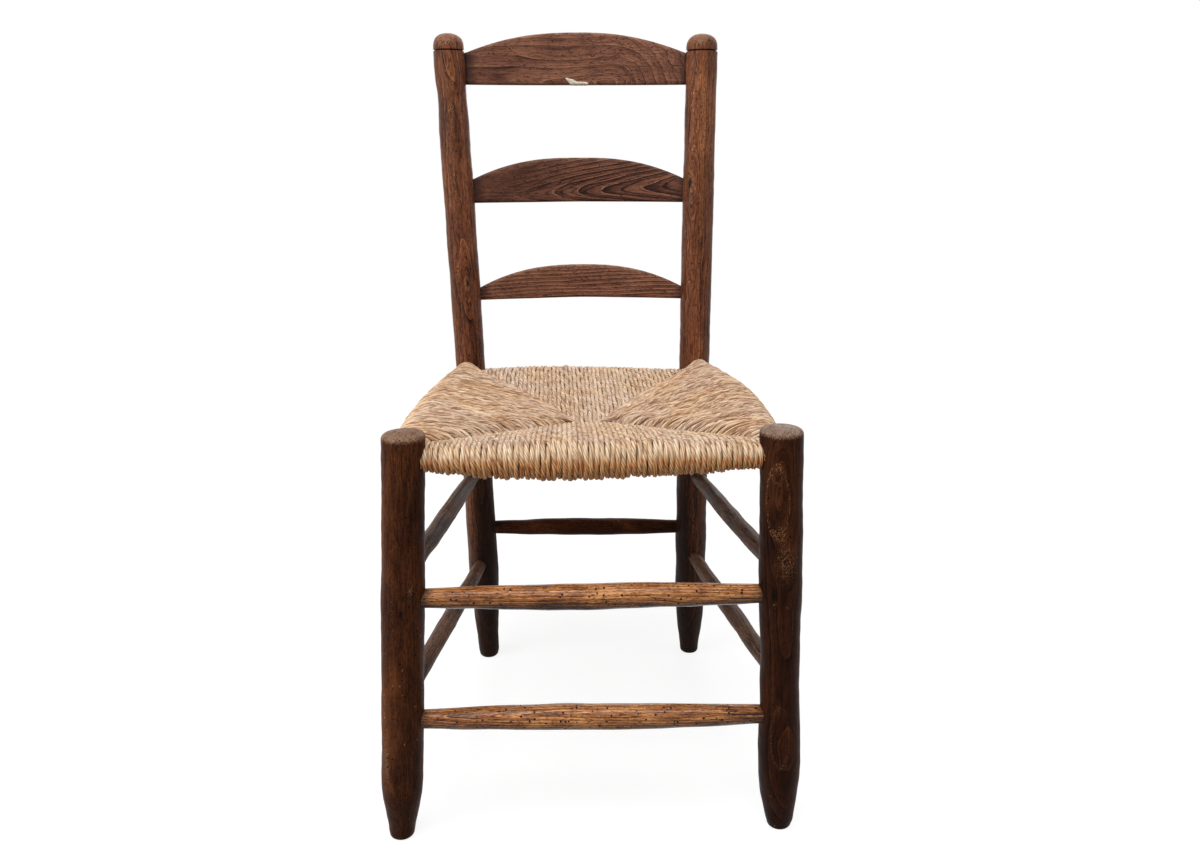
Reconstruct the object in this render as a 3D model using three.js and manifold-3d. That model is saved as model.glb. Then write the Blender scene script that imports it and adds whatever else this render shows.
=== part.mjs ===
// A hand-made ladder-back chair with a rush seat, stained dark and worn by use.
// Millimetres, +Z up. The front faces -Y. Left and right are as seen from the front, left being -X.
// The chair is not quite symmetric: its back frame and its feet stand a little to one side.
import * as THREE from 'three';
import { mergeVertices } from 'three/addons/utils/BufferGeometryUtils.js';
import Module from 'manifold-3d';

const wasm = await Module();
wasm.setup();

// Front legs
const LEG_HEIGHT = 450;
const LEG_TOP_SPACING = 366;
const LEG_FOOT_SPACING = 409;
const LEG_FOOT_SHIFT = -4;
const LEG_FOOT_FORWARD = 5;
const LEG_RADIUS = 21.1;
const LEG_ANKLE_RADIUS = 22;
const LEG_FOOT_RADIUS = 13.5;
const LEG_TAPER_HEIGHT = 72;
const LEG_TOP_ROUNDING = 2.2;
const WAIST_HEIGHT = 158;
const WAIST_DEPTH = 2;

// Back posts
const POST_HEIGHT = 846;
const POST_TOP_SPACING = 319;
const POST_FOOT_SPACING = 291;
const POST_TOP_SHIFT = -8;
const POST_FOOT_SHIFT = 4.5;
const POST_FOOT_BEHIND = 381;
const POST_RAKE = 33;
const LEFT_POST_RADIUS = 18.9;
const RIGHT_POST_RADIUS = 19.6;
const POST_ANKLE_RADIUS = 20.6;
const POST_FOOT_RADIUS = 13.5;
const POST_TAPER_HEIGHT = 125;
const DOME_HEIGHT = 16;
const GROOVE_BELOW_TIP = 21;
const GROOVE_WIDTH = 2.4;
const GROOVE_DEPTH = 1.2;
const FOOT_ROUNDING = 2.5;
const TAPER_POWER = 1.5;

// Slats of the back: lower edge below the post tips, width at the posts and width in the middle
const TOP_SLAT_BELOW_TIP = 61;
const TOP_SLAT_END_WIDTH = 38;
const TOP_SLAT_CROWN_WIDTH = 64;
const MIDDLE_SLAT_BELOW_TIP = 207;
const MIDDLE_SLAT_END_WIDTH = 30;
const MIDDLE_SLAT_CROWN_WIDTH = 56;
const BOTTOM_SLAT_BELOW_TIP = 333;
const BOTTOM_SLAT_END_WIDTH = 16;
const BOTTOM_SLAT_CROWN_WIDTH = 44;
const SLAT_THICKNESS = 10;
const SLAT_BOW = 21;
const SLAT_TENON_LENGTH = 15;
const SLAT_ARCH_POWER = 2.5;

// Rungs: height where the axis meets each leg, then radius at the legs and in the middle
const FRONT_UPPER_LEFT_HEIGHT = 276.5;
const FRONT_UPPER_RIGHT_HEIGHT = 275;
const FRONT_LOWER_LEFT_HEIGHT = 139.5;
const FRONT_LOWER_RIGHT_HEIGHT = 136;
const LEFT_UPPER_FRONT_HEIGHT = 298;
const LEFT_UPPER_BACK_HEIGHT = 277;
const LEFT_LOWER_FRONT_HEIGHT = 160;
const LEFT_LOWER_BACK_HEIGHT = 144.5;
const RIGHT_UPPER_FRONT_HEIGHT = 297.5;
const RIGHT_UPPER_BACK_HEIGHT = 270.5;
const RIGHT_LOWER_FRONT_HEIGHT = 175;
const RIGHT_LOWER_BACK_HEIGHT = 151;
const BACK_RUNG_LEFT_HEIGHT = 195;
const BACK_RUNG_RIGHT_HEIGHT = 191.5;
const FRONT_RUNG_END_RADIUS = 9.2;
const FRONT_RUNG_RADIUS = 13.4;
const SIDE_RUNG_END_RADIUS = 8.2;
const SIDE_RUNG_RADIUS = 10.4;
const BACK_RUNG_END_RADIUS = 8.2;
const BACK_RUNG_RADIUS = 12;
const RUNG_TENON_LENGTH = 17;

// Seat rails, hidden in the rush: axis below the leg tops. The side rails are a little flattened
const FRONT_RAIL_BELOW_TOP = 26.5;
const SIDE_RAIL_BELOW_TOP = 26;
const BACK_RAIL_BELOW_TOP = 43;
const RAIL_END_RADIUS = 6.5;
const FRONT_RAIL_RADIUS = 13;
const SIDE_RAIL_RADIUS = 13;
const BACK_RAIL_RADIUS = 10;
const SIDE_RAIL_FLATNESS = 0.8;
const RAIL_TENON_LENGTH = 12;

// Rush seat: cords from each corner, cords between the two middle points, and how it sags
const FRONT_CORNER_CORDS = 25;
const BACK_CORNER_CORDS = 22;
const MIDDLE_CORDS = 5;
const WRAP_THICKNESS = 5.5;
const WRAP_UNDER_THICKNESS = 9;
const RIDGE_DEPTH = 1.6;
const LEFT_ROLL_BULGE = 9.5;
const LEFT_BULGE_SKEW = 0.6;
const RIGHT_ROLL_BULGE = 13.5;
const RIGHT_BULGE_SKEW = 1.2;
const MIDDLE_WIDTH = 30;
const MIDDLE_BEHIND = 186;
const MIDDLE_SURFACE_BELOW_TOP = 44;
const SEAT_THICKNESS = 24;
const PANEL_PUFF = 2;
const FRONT_SEAM_POWER = 1;
const BACK_SEAM_POWER = 2.2;
const SEAM_START_IN_LEG = 9;

// Clearance between pieces that touch, and how finely round shapes are divided
const FIT_GAP = 0.3;
const WELD_TOLERANCE = 1e-4;
const LEG_SIDES = 20;
const BAR_SIDES = 14;
const BAR_STEPS = 8;
const SLAT_STEPS = 14;
const ROLL_STEPS = 6;
const TOP_STEPS = 2;
const UNDER_STEPS = 1;

const DARK_WOOD = { color: 0x452a1c, roughness: 0.55, metalness: 0 };
const RED_WOOD = { color: 0x693f2b, roughness: 0.5, metalness: 0 };
const GOLDEN_WOOD = { color: 0x8a5a30, roughness: 0.45, metalness: 0 };
const GREY_WOOD = { color: 0x5a4739, roughness: 0.6, metalness: 0 };
const RUSH = { color: 0xbd9a72, roughness: 0.85, metalness: 0 };

// Closed solids

// Gives a geometry shared corners, and drops the triangles that closed to nothing.
function weld(geometry) {
  const bare = geometry.clone();
  bare.deleteAttribute('normal');
  bare.deleteAttribute('uv');
  const merged = mergeVertices(bare, WELD_TOLERANCE);
  const corners = merged.index.array;
  const kept = [];
  for (let i = 0; i < corners.length; i += 3) {
    const [a, b, c] = corners.slice(i, i + 3);
    if (a !== b && b !== c && c !== a) kept.push(a, b, c);
  }
  merged.setIndex(kept);
  return merged;
}

function toSolid(geometry) {
  const closed = weld(geometry);
  return new wasm.Manifold(new wasm.Mesh({
    numProp: 3,
    vertProperties: new Float32Array(closed.attributes.position.array),
    triVerts: new Uint32Array(closed.index.array),
  }));
}

function toGeometry(solid) {
  const mesh = solid.getMesh();
  const geometry = new THREE.BufferGeometry();
  geometry.setAttribute('position', new THREE.BufferAttribute(new Float32Array(mesh.vertProperties), 3));
  geometry.setIndex(new THREE.BufferAttribute(new Uint32Array(mesh.triVerts), 1));
  geometry.computeVertexNormals();
  return geometry;
}

function cutFrom(solid, tools) {
  return tools.reduce((rest, tool) => rest.subtract(tool), solid);
}

// Uprights: a turned profile, sheared so that it leans while its foot stays flat on the floor

const mix = THREE.MathUtils.lerp;

function lean(upright) {
  const shear = new THREE.Matrix4();
  shear.elements[8] = (upright.top.x - upright.foot.x) / upright.height;
  shear.elements[9] = (upright.top.y - upright.foot.y) / upright.height;
  shear.elements[12] = upright.foot.x;
  shear.elements[13] = upright.foot.y;
  return shear;
}

function onAxis(upright, height) {
  const share = height / upright.height;
  return new THREE.Vector3(
    mix(upright.foot.x, upright.top.x, share),
    mix(upright.foot.y, upright.top.y, share),
    height,
  );
}

// The foot swells from its flat end to the ankle, as a quarter wave to the power 1.5.
function footProfile(footRadius, ankleRadius, taperHeight) {
  const points = [[footRadius - FOOT_ROUNDING, 0]];
  for (const share of [0, 0.33, 0.66, 1]) {
    const height = mix(FOOT_ROUNDING, taperHeight, share);
    points.push([mix(footRadius, ankleRadius, Math.sin(share * Math.PI / 2) ** TAPER_POWER), height]);
  }
  return points;
}

function legProfile(waistDepth) {
  return [
    ...footProfile(LEG_FOOT_RADIUS, LEG_ANKLE_RADIUS, LEG_TAPER_HEIGHT),
    [LEG_RADIUS - waistDepth, WAIST_HEIGHT],
    [LEG_RADIUS, mix(WAIST_HEIGHT, LEG_HEIGHT, 0.5)],
    [LEG_RADIUS, LEG_HEIGHT - LEG_TOP_ROUNDING],
    [LEG_RADIUS - LEG_TOP_ROUNDING, LEG_HEIGHT],
  ];
}

// The post ends in a dome, with a scribed groove below it.
function postProfile(radius) {
  const groove = POST_HEIGHT - GROOVE_BELOW_TIP;
  const domeBase = POST_HEIGHT - DOME_HEIGHT;
  const dome = [0, 0.25, 0.5, 0.75].map((share) => {
    const angle = share * Math.PI / 2;
    return [radius * Math.cos(angle), domeBase + DOME_HEIGHT * Math.sin(angle)];
  });
  return [
    ...footProfile(POST_FOOT_RADIUS, POST_ANKLE_RADIUS, POST_TAPER_HEIGHT),
    [radius, POST_HEIGHT / 2],
    [radius, groove - GROOVE_WIDTH / 2],
    [radius - GROOVE_DEPTH, groove],
    [radius, groove + GROOVE_WIDTH / 2],
    ...dome,
  ];
}

function uprightGeometry(upright, grow) {
  const profile = upright.profile.map(([radius, height]) => new THREE.Vector2(radius + grow, height));
  profile.unshift(new THREE.Vector2(0, profile[0].y));
  profile.push(new THREE.Vector2(0, upright.height));
  const geometry = new THREE.LatheGeometry(profile, LEG_SIDES);
  geometry.rotateX(Math.PI / 2);
  return geometry.applyMatrix4(lean(upright));
}

function frontLeg(name, side, waistDepth) {
  return {
    name,
    height: LEG_HEIGHT,
    radius: LEG_RADIUS,
    foot: { x: side * LEG_FOOT_SPACING / 2 + LEG_FOOT_SHIFT, y: -LEG_FOOT_FORWARD },
    top: { x: side * LEG_TOP_SPACING / 2, y: 0 },
    profile: legProfile(waistDepth),
    finish: DARK_WOOD,
  };
}

function backPost(name, side, radius) {
  return {
    name,
    height: POST_HEIGHT,
    radius,
    foot: { x: side * POST_FOOT_SPACING / 2 + POST_FOOT_SHIFT, y: POST_FOOT_BEHIND },
    top: { x: side * POST_TOP_SPACING / 2 + POST_TOP_SHIFT, y: POST_FOOT_BEHIND + POST_RAKE },
    profile: postProfile(radius),
    finish: RED_WOOD,
  };
}

const frontLeft = frontLeg('front_leg_left', -1, 0);
const frontRight = frontLeg('front_leg_right', 1, WAIST_DEPTH);
const backLeft = backPost('back_post_left', -1, LEFT_POST_RADIUS);
const backRight = backPost('back_post_right', 1, RIGHT_POST_RADIUS);

// Bars: rungs and seat rails, swelled in the middle, with ends that enter the legs

function bar(name, from, fromHeight, to, toHeight, sizes) {
  const start = onAxis(from, fromHeight);
  const end = onAxis(to, toHeight);
  const along = end.clone().sub(start).normalize();
  return {
    name,
    along,
    uprights: [from, to],
    start: start.clone().addScaledVector(along, from.radius - sizes.tenon),
    end: end.clone().addScaledVector(along, sizes.tenon - to.radius),
    flatness: 1,
    ...sizes,
  };
}

function barRadius(sizes, share) {
  return mix(sizes.endRadius, sizes.radius, Math.sin(share * Math.PI));
}

// Places a bar's own Y axis along the bar, with its Z axis upwards.
function barPlace(piece) {
  const across = new THREE.Vector3().crossVectors(piece.along, new THREE.Vector3(0, 0, 1)).normalize();
  const up = new THREE.Vector3().crossVectors(across, piece.along);
  return new THREE.Matrix4().makeBasis(across, piece.along, up).setPosition(piece.start);
}

function barGeometry(piece, grow) {
  const length = piece.start.distanceTo(piece.end);
  const profile = [new THREE.Vector2(0, -grow)];
  for (let step = 0; step <= BAR_STEPS; step += 1) {
    const share = step / BAR_STEPS;
    const height = mix(-grow, length + grow, share);
    profile.push(new THREE.Vector2(barRadius(piece, share) + grow / piece.flatness, height));
  }
  profile.push(new THREE.Vector2(0, length + grow));
  const geometry = new THREE.LatheGeometry(profile, BAR_SIDES);
  return geometry.scale(1, 1, piece.flatness);
}

const frontRung = {
  endRadius: FRONT_RUNG_END_RADIUS, radius: FRONT_RUNG_RADIUS, tenon: RUNG_TENON_LENGTH, finish: GOLDEN_WOOD,
};
const sideRung = {
  endRadius: SIDE_RUNG_END_RADIUS, radius: SIDE_RUNG_RADIUS, tenon: RUNG_TENON_LENGTH, finish: GREY_WOOD,
};
const backRung = {
  endRadius: BACK_RUNG_END_RADIUS, radius: BACK_RUNG_RADIUS, tenon: RUNG_TENON_LENGTH, finish: DARK_WOOD,
};
const rungs = [
  bar('front_rung_upper', frontLeft, FRONT_UPPER_LEFT_HEIGHT, frontRight, FRONT_UPPER_RIGHT_HEIGHT,
    frontRung),
  bar('front_rung_lower', frontLeft, FRONT_LOWER_LEFT_HEIGHT, frontRight, FRONT_LOWER_RIGHT_HEIGHT,
    frontRung),
  bar('side_rung_left_upper', frontLeft, LEFT_UPPER_FRONT_HEIGHT, backLeft, LEFT_UPPER_BACK_HEIGHT,
    sideRung),
  bar('side_rung_left_lower', frontLeft, LEFT_LOWER_FRONT_HEIGHT, backLeft, LEFT_LOWER_BACK_HEIGHT,
    sideRung),
  bar('side_rung_right_upper', frontRight, RIGHT_UPPER_FRONT_HEIGHT, backRight, RIGHT_UPPER_BACK_HEIGHT,
    sideRung),
  bar('side_rung_right_lower', frontRight, RIGHT_LOWER_FRONT_HEIGHT, backRight, RIGHT_LOWER_BACK_HEIGHT,
    sideRung),
  bar('back_rung', backLeft, BACK_RUNG_LEFT_HEIGHT, backRight, BACK_RUNG_RIGHT_HEIGHT,
    backRung),
];

// The rails go round the seat counter-clockwise, and their tenons stop short of each other in the legs.
const frontRailHeight = LEG_HEIGHT - FRONT_RAIL_BELOW_TOP;
const sideRailHeight = LEG_HEIGHT - SIDE_RAIL_BELOW_TOP;
const backRailHeight = LEG_HEIGHT - BACK_RAIL_BELOW_TOP;
const rail = { endRadius: RAIL_END_RADIUS, tenon: RAIL_TENON_LENGTH, finish: DARK_WOOD, bulge: 0, skew: 1 };
const sideRail = { ...rail, radius: SIDE_RAIL_RADIUS, flatness: SIDE_RAIL_FLATNESS };
const frontRail = bar('seat_rail_front', frontLeft, frontRailHeight, frontRight, frontRailHeight,
  { ...rail, radius: FRONT_RAIL_RADIUS });
const rightRail = bar('seat_rail_right', frontRight, sideRailHeight, backRight, sideRailHeight,
  { ...sideRail, bulge: RIGHT_ROLL_BULGE, skew: RIGHT_BULGE_SKEW });
const backRail = bar('seat_rail_back', backRight, backRailHeight, backLeft, backRailHeight,
  { ...rail, radius: BACK_RAIL_RADIUS });
const leftRail = bar('seat_rail_left', backLeft, sideRailHeight, frontLeft, sideRailHeight,
  { ...sideRail, bulge: LEFT_ROLL_BULGE, skew: LEFT_BULGE_SKEW });
const rails = [frontRail, rightRail, backRail, leftRail];
const bars = [...rungs, ...rails];

// Slats: a bent board, sawn to an arched outline, with its ends let into the posts

// How far the board lies behind the line between the posts, for a share from one post (-1) to the other (1).
function bowAt(share) {
  return SLAT_BOW * (1 - share * share);
}

function bentBoard(half, tall, grow) {
  const front = [];
  const back = [];
  const thick = SLAT_THICKNESS / 2 + grow;
  for (let step = 0; step <= SLAT_STEPS; step += 1) {
    const share = 2 * step / SLAT_STEPS - 1;
    front.push(new THREE.Vector2(share * (half + grow), bowAt(share) - thick));
    back.unshift(new THREE.Vector2(share * (half + grow), bowAt(share) + thick));
  }
  const plan = new THREE.Shape([...front, ...back]);
  return new THREE.ExtrudeGeometry(plan, { depth: tall, bevelEnabled: false });
}

// The arch rises steeply at the posts and is flat in the middle: 1 - share to the power 2.5.
// Inside the posts the slat keeps its end width.
function archedOutline(visibleHalf, slat, grow) {
  const beyond = visibleHalf + 2 * SLAT_TENON_LENGTH;
  const outline = [new THREE.Vector2(beyond, -grow), new THREE.Vector2(beyond, slat.endWidth + grow)];
  for (let step = 0; step <= SLAT_STEPS; step += 1) {
    const share = 1 - 2 * step / SLAT_STEPS;
    const width = mix(slat.endWidth, slat.crownWidth, 1 - Math.abs(share) ** SLAT_ARCH_POWER);
    outline.push(new THREE.Vector2(share * visibleHalf, width + grow));
  }
  outline.push(new THREE.Vector2(-beyond, slat.endWidth + grow), new THREE.Vector2(-beyond, -grow));
  const depth = 3 * (SLAT_BOW + SLAT_THICKNESS);
  const geometry = new THREE.ExtrudeGeometry(new THREE.Shape(outline), { depth, bevelEnabled: false });
  return geometry.rotateX(Math.PI / 2).translate(0, (depth + SLAT_BOW) / 2, 0);
}

// The slat stands between the post axes at its own height, and leans back with the posts.
function slatSolid(slat, grow) {
  const left = onAxis(backLeft, slat.height);
  const right = onAxis(backRight, slat.height);
  const visibleHalf = (right.x - left.x - backLeft.radius - backRight.radius) / 2;
  const tall = slat.crownWidth + 2 * SLAT_THICKNESS;
  const board = bentBoard(visibleHalf + SLAT_TENON_LENGTH, tall, grow).translate(0, 0, -SLAT_THICKNESS);
  const place = new THREE.Matrix4();
  place.elements[9] = POST_RAKE / POST_HEIGHT;
  place.setPosition((left.x + backLeft.radius + right.x - backRight.radius) / 2, left.y, slat.height);
  const outline = archedOutline(visibleHalf, slat, grow).applyMatrix4(place);
  return toSolid(board.applyMatrix4(place)).intersect(toSolid(outline));
}

const slats = [
  {
    name: 'top_slat',
    height: POST_HEIGHT - TOP_SLAT_BELOW_TIP,
    endWidth: TOP_SLAT_END_WIDTH,
    crownWidth: TOP_SLAT_CROWN_WIDTH,
  },
  {
    name: 'middle_slat',
    height: POST_HEIGHT - MIDDLE_SLAT_BELOW_TIP,
    endWidth: MIDDLE_SLAT_END_WIDTH,
    crownWidth: MIDDLE_SLAT_CROWN_WIDTH,
  },
  {
    name: 'bottom_slat',
    height: POST_HEIGHT - BOTTOM_SLAT_BELOW_TIP,
    endWidth: BOTTOM_SLAT_END_WIDTH,
    crownWidth: BOTTOM_SLAT_CROWN_WIDTH,
  },
];

// Rush seat: cords wrapped over the rails meet on four diagonal seams. Each cord is a ridge that runs
// from the seam on top, over the roll and back to the seam below, so neighbours share their corners.

// Each seam starts inside a leg, so that the cords next to the leg run up to it.
function seatCorner(upright, sideX, sideY, cords, power) {
  const axis = onAxis(upright, sideRailHeight);
  const [x, y] = [axis.x + sideX * SEAM_START_IN_LEG, axis.y + sideY * SEAM_START_IN_LEG];
  return { x, y, cords, power, middle: -sideX };
}

const seatCorners = [
  seatCorner(frontLeft, 1, 1, FRONT_CORNER_CORDS, FRONT_SEAM_POWER),
  seatCorner(frontRight, -1, 1, FRONT_CORNER_CORDS, FRONT_SEAM_POWER),
  seatCorner(backRight, -1, -1, BACK_CORNER_CORDS, BACK_SEAM_POWER),
  seatCorner(backLeft, 1, -1, BACK_CORNER_CORDS, BACK_SEAM_POWER),
];

// The rush over a rail, for a share of the way along it: its outer reach, and how far it rises and drops.
// The side rolls bulge most at a share of the way back that the skew sets.
function rollAt(piece, share) {
  const wide = barRadius(piece, share);
  const wayBack = piece.along.y < 0 ? 1 - share : share;
  return {
    reach: wide + WRAP_THICKNESS + piece.bulge * Math.sin(Math.PI * wayBack ** piece.skew),
    rise: wide * piece.flatness + WRAP_THICKNESS,
    drop: wide * piece.flatness + WRAP_UNDER_THICKNESS,
  };
}

const middleSurfaceHeight = LEG_HEIGHT - MIDDLE_SURFACE_BELOW_TOP;

// Height of the seat's upper surface on a seam, from the corner (0) to the middle of the seat (1).
function seamTop(corner, share) {
  const nearLeg = corner.cords === FRONT_CORNER_CORDS ? frontRail : backRail;
  const start = nearLeg.start.z + rollAt(nearLeg, 0).rise;
  return mix(start, middleSurfaceHeight, share ** corner.power);
}

// Half-cord steps along a panel's seams: valleys on even steps, crests on odd ones.
function seamPoints(from, to) {
  const points = [];
  const middle = (corner) => ({ x: corner.middle * MIDDLE_WIDTH / 2, y: MIDDLE_BEHIND });
  const put = (x, y, z) => points.push({ x, y, z });
  const diagonal = (corner, step) => {
    const share = step / (2 * corner.cords);
    const end = middle(corner);
    put(mix(corner.x, end.x, share), mix(corner.y, end.y, share), seamTop(corner, share));
  };
  for (let step = 0; step < 2 * from.cords; step += 1) diagonal(from, step);
  if (from.middle !== to.middle) {
    for (let step = 0; step < 2 * MIDDLE_CORDS; step += 1) {
      const x = mix(middle(from).x, middle(to).x, step / (2 * MIDDLE_CORDS));
      put(x, MIDDLE_BEHIND, middleSurfaceHeight);
    }
  }
  for (let step = 2 * to.cords; step >= 0; step -= 1) diagonal(to, step);
  return points;
}

// One cord line of a panel, from the upper seam over the roll to the lower seam.
function cordLine(piece, seam, share, start, end, sunk) {
  const onRail = start.clone().lerp(end, share);
  const outward = new THREE.Vector3(piece.along.y, -piece.along.x, 0).normalize();
  const roll = rollAt(piece, share);
  const line = [];
  for (let step = 0; step < TOP_STEPS; step += 1) {
    const way = step / TOP_STEPS;
    const puff = PANEL_PUFF * Math.sin(way * Math.PI);
    const height = mix(seam.z, onRail.z + roll.rise, way) + puff - sunk;
    line.push(new THREE.Vector3(mix(seam.x, onRail.x, way), mix(seam.y, onRail.y, way), height));
  }
  for (let step = 0; step <= ROLL_STEPS; step += 1) {
    const angle = Math.PI * (0.5 - step / ROLL_STEPS);
    const point = onRail.clone().addScaledVector(outward, (roll.reach - sunk) * Math.cos(angle));
    point.z += ((angle > 0 ? roll.rise : roll.drop) - sunk) * Math.sin(angle);
    line.push(point);
  }
  for (let step = 1; step <= UNDER_STEPS; step += 1) {
    const way = step / UNDER_STEPS;
    const height = mix(onRail.z - roll.drop, seam.z - SEAT_THICKNESS, way) + sunk;
    line.push(new THREE.Vector3(mix(onRail.x, seam.x, way), mix(onRail.y, seam.y, way), height));
  }
  return line;
}

// The point of the rail beside a corner of the seat.
function besideCorner(piece, corner) {
  const from = piece.start;
  const reach = (corner.x - from.x) * piece.along.x + (corner.y - from.y) * piece.along.y;
  return from.clone().addScaledVector(piece.along, reach);
}

function panelLines(piece, from, to) {
  const seams = seamPoints(from, to);
  const start = besideCorner(piece, from);
  const end = besideCorner(piece, to);
  return seams.map((seam, step) => {
    const sunk = step % 2 === 0 ? RIDGE_DEPTH : 0;
    return cordLine(piece, seam, step / (seams.length - 1), start, end, sunk);
  });
}

function addTriangle(corners, a, b, c) {
  corners.push(a.x, a.y, a.z, b.x, b.y, b.z, c.x, c.y, c.z);
}

function rushGeometry() {
  const corners = [];
  rails.forEach((piece, side) => {
    const lines = panelLines(piece, seatCorners[side], seatCorners[(side + 1) % rails.length]);
    for (let i = 0; i + 1 < lines.length; i += 1) {
      const [line, next] = [lines[i], lines[i + 1]];
      for (let k = 0; k + 1 < line.length; k += 1) {
        addTriangle(corners, line[k], line[k + 1], next[k]);
        addTriangle(corners, next[k], line[k + 1], next[k + 1]);
      }
    }
    const [first, last] = [lines[0], lines[lines.length - 1]];
    for (let k = 1; k + 1 < first.length; k += 1) {
      addTriangle(corners, first[0], first[k + 1], first[k]);
      addTriangle(corners, last[0], last[k], last[k + 1]);
    }
  });
  const geometry = new THREE.BufferGeometry();
  geometry.setAttribute('position', new THREE.Float32BufferAttribute(corners, 3));
  return geometry;
}

// The chair

const chair = new THREE.Group();

function addPiece(name, geometry, finish) {
  const mesh = new THREE.Mesh(geometry, new THREE.MeshStandardMaterial(finish));
  mesh.name = name;
  chair.add(mesh);
  return mesh;
}

const uprights = [frontLeft, frontRight, backLeft, backRight];

for (const upright of uprights) {
  const sockets = bars
    .filter((piece) => piece.uprights.includes(upright))
    .map((piece) => toSolid(barGeometry(piece, FIT_GAP).applyMatrix4(barPlace(piece))));
  if (upright === backLeft || upright === backRight) {
    sockets.push(...slats.map((slat) => slatSolid(slat, FIT_GAP)));
  }
  const solid = cutFrom(toSolid(uprightGeometry(upright, 0)), sockets);
  addPiece(upright.name, toGeometry(solid), upright.finish);
}

for (const slat of slats) addPiece(slat.name, toGeometry(slatSolid(slat, 0)), RED_WOOD);

for (const piece of bars) {
  addPiece(piece.name, weld(barGeometry(piece, 0)), piece.finish).applyMatrix4(barPlace(piece));
}

const clearOfRush = [
  ...uprights.map((upright) => toSolid(uprightGeometry(upright, FIT_GAP))),
  ...rails.map((piece) => toSolid(barGeometry(piece, FIT_GAP).applyMatrix4(barPlace(piece)))),
];
addPiece('rush_seat', toGeometry(cutFrom(toSolid(rushGeometry()), clearOfRush)), RUSH);

// The chair stands centred over the origin.
const centre = new THREE.Box3().setFromObject(chair).getCenter(new THREE.Vector3());
chair.position.set(-centre.x, -centre.y, 0);

export default chair;
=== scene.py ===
# %% [markdown]
# # A ladder-back chair with a rush seat
#
# The chair is old and hand made. Two short front legs, two tall back posts, three bent slats and seven rungs
# hold each other with tenons, and a seat of twisted rush is wrapped over four hidden rails.
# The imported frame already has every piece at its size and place, so this script only adds what the eye
# looks for: uneven turned surfaces, grain, wax, worm holes, and the single cords of the seat.

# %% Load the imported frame
import math

import bpy
import numpy as np
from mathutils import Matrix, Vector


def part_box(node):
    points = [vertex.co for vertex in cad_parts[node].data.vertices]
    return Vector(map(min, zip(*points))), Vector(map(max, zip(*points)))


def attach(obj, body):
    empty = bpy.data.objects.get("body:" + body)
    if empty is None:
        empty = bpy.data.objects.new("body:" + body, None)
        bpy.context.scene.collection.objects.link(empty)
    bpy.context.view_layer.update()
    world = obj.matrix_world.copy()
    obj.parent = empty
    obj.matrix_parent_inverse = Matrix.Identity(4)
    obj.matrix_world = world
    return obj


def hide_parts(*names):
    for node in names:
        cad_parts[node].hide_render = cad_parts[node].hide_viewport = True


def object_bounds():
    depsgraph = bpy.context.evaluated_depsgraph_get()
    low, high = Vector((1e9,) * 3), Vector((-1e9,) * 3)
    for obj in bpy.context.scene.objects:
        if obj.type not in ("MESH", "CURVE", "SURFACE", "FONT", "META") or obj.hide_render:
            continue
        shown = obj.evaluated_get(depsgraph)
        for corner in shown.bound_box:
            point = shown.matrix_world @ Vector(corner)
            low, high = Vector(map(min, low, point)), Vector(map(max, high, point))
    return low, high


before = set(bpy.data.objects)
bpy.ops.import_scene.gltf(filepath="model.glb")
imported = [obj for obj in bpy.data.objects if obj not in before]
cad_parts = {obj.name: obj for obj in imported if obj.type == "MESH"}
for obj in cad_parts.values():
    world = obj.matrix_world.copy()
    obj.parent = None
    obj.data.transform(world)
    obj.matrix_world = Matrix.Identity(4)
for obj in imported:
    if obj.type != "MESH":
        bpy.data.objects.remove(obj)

cad_box = [list(corner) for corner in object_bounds()]
MM = 0.001
print("nodes:", len(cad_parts), "box:", np.round(cad_box, 3).tolist())

# %% [markdown]
# ## Camera
#
# The camera stands close to the chair, between the heights of the middle and the top slat, so the seat is
# seen from above and the uprights run together towards the floor. A 30 mm lens on a 36 mm wide frame has
# that perspective. The place and the angles come from a fit to the tops and feet of the four uprights in
# the photograph. The lens was chosen from a few that were tried in that fit.

# %% Set up the camera
CAMERA_PLACE = (-0.02604, -1.13306, 0.7256)
LOOKING_DOWN = 16.28
TURNED_RIGHT = 2.215
TILTED = 0.1
LENS = 30
FRAME_WIDTH = 36

lens_data = bpy.data.cameras.new("camera")
lens_data.lens = LENS
lens_data.sensor_width = FRAME_WIDTH
camera = bpy.data.objects.new("camera", lens_data)
camera.location = CAMERA_PLACE
camera.rotation_euler = [math.radians(part) for part in (90 - LOOKING_DOWN, TILTED, -TURNED_RIGHT)]
bpy.context.scene.collection.objects.link(camera)
bpy.context.scene.camera = camera
print("camera stands", round(-CAMERA_PLACE[1] + cad_box[0][1], 2), "m in front of the feet")

# %% [markdown]
# ## Reading axes from the frame
#
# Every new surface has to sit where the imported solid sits. A turned piece is known by its axis and its radii,
# so the axis is read back from the solid: the middle of its lowest ring and of its highest ring for an
# upright, and the middle of its two end discs for a rung or a rail.

# %% Find the axes
def node_points(name):
    """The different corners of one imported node, in metres."""
    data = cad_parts[name].data
    flat = np.empty(3 * len(data.vertices), np.float32)
    data.vertices.foreach_get("co", flat)
    return np.unique(np.round(flat.reshape(-1, 3).astype(float), 6), axis=0)


def upright_axis(name):
    """Foot and tip of a leaning upright: the middle of the corners at its lowest and highest level."""
    points = node_points(name)
    level = points[:, 2]
    ends = [points[level < level.min() + 0.05 * MM], points[level > level.max() - 0.05 * MM]]
    return [(ring.min(0) + ring.max(0)) / 2 for ring in ends]


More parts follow.
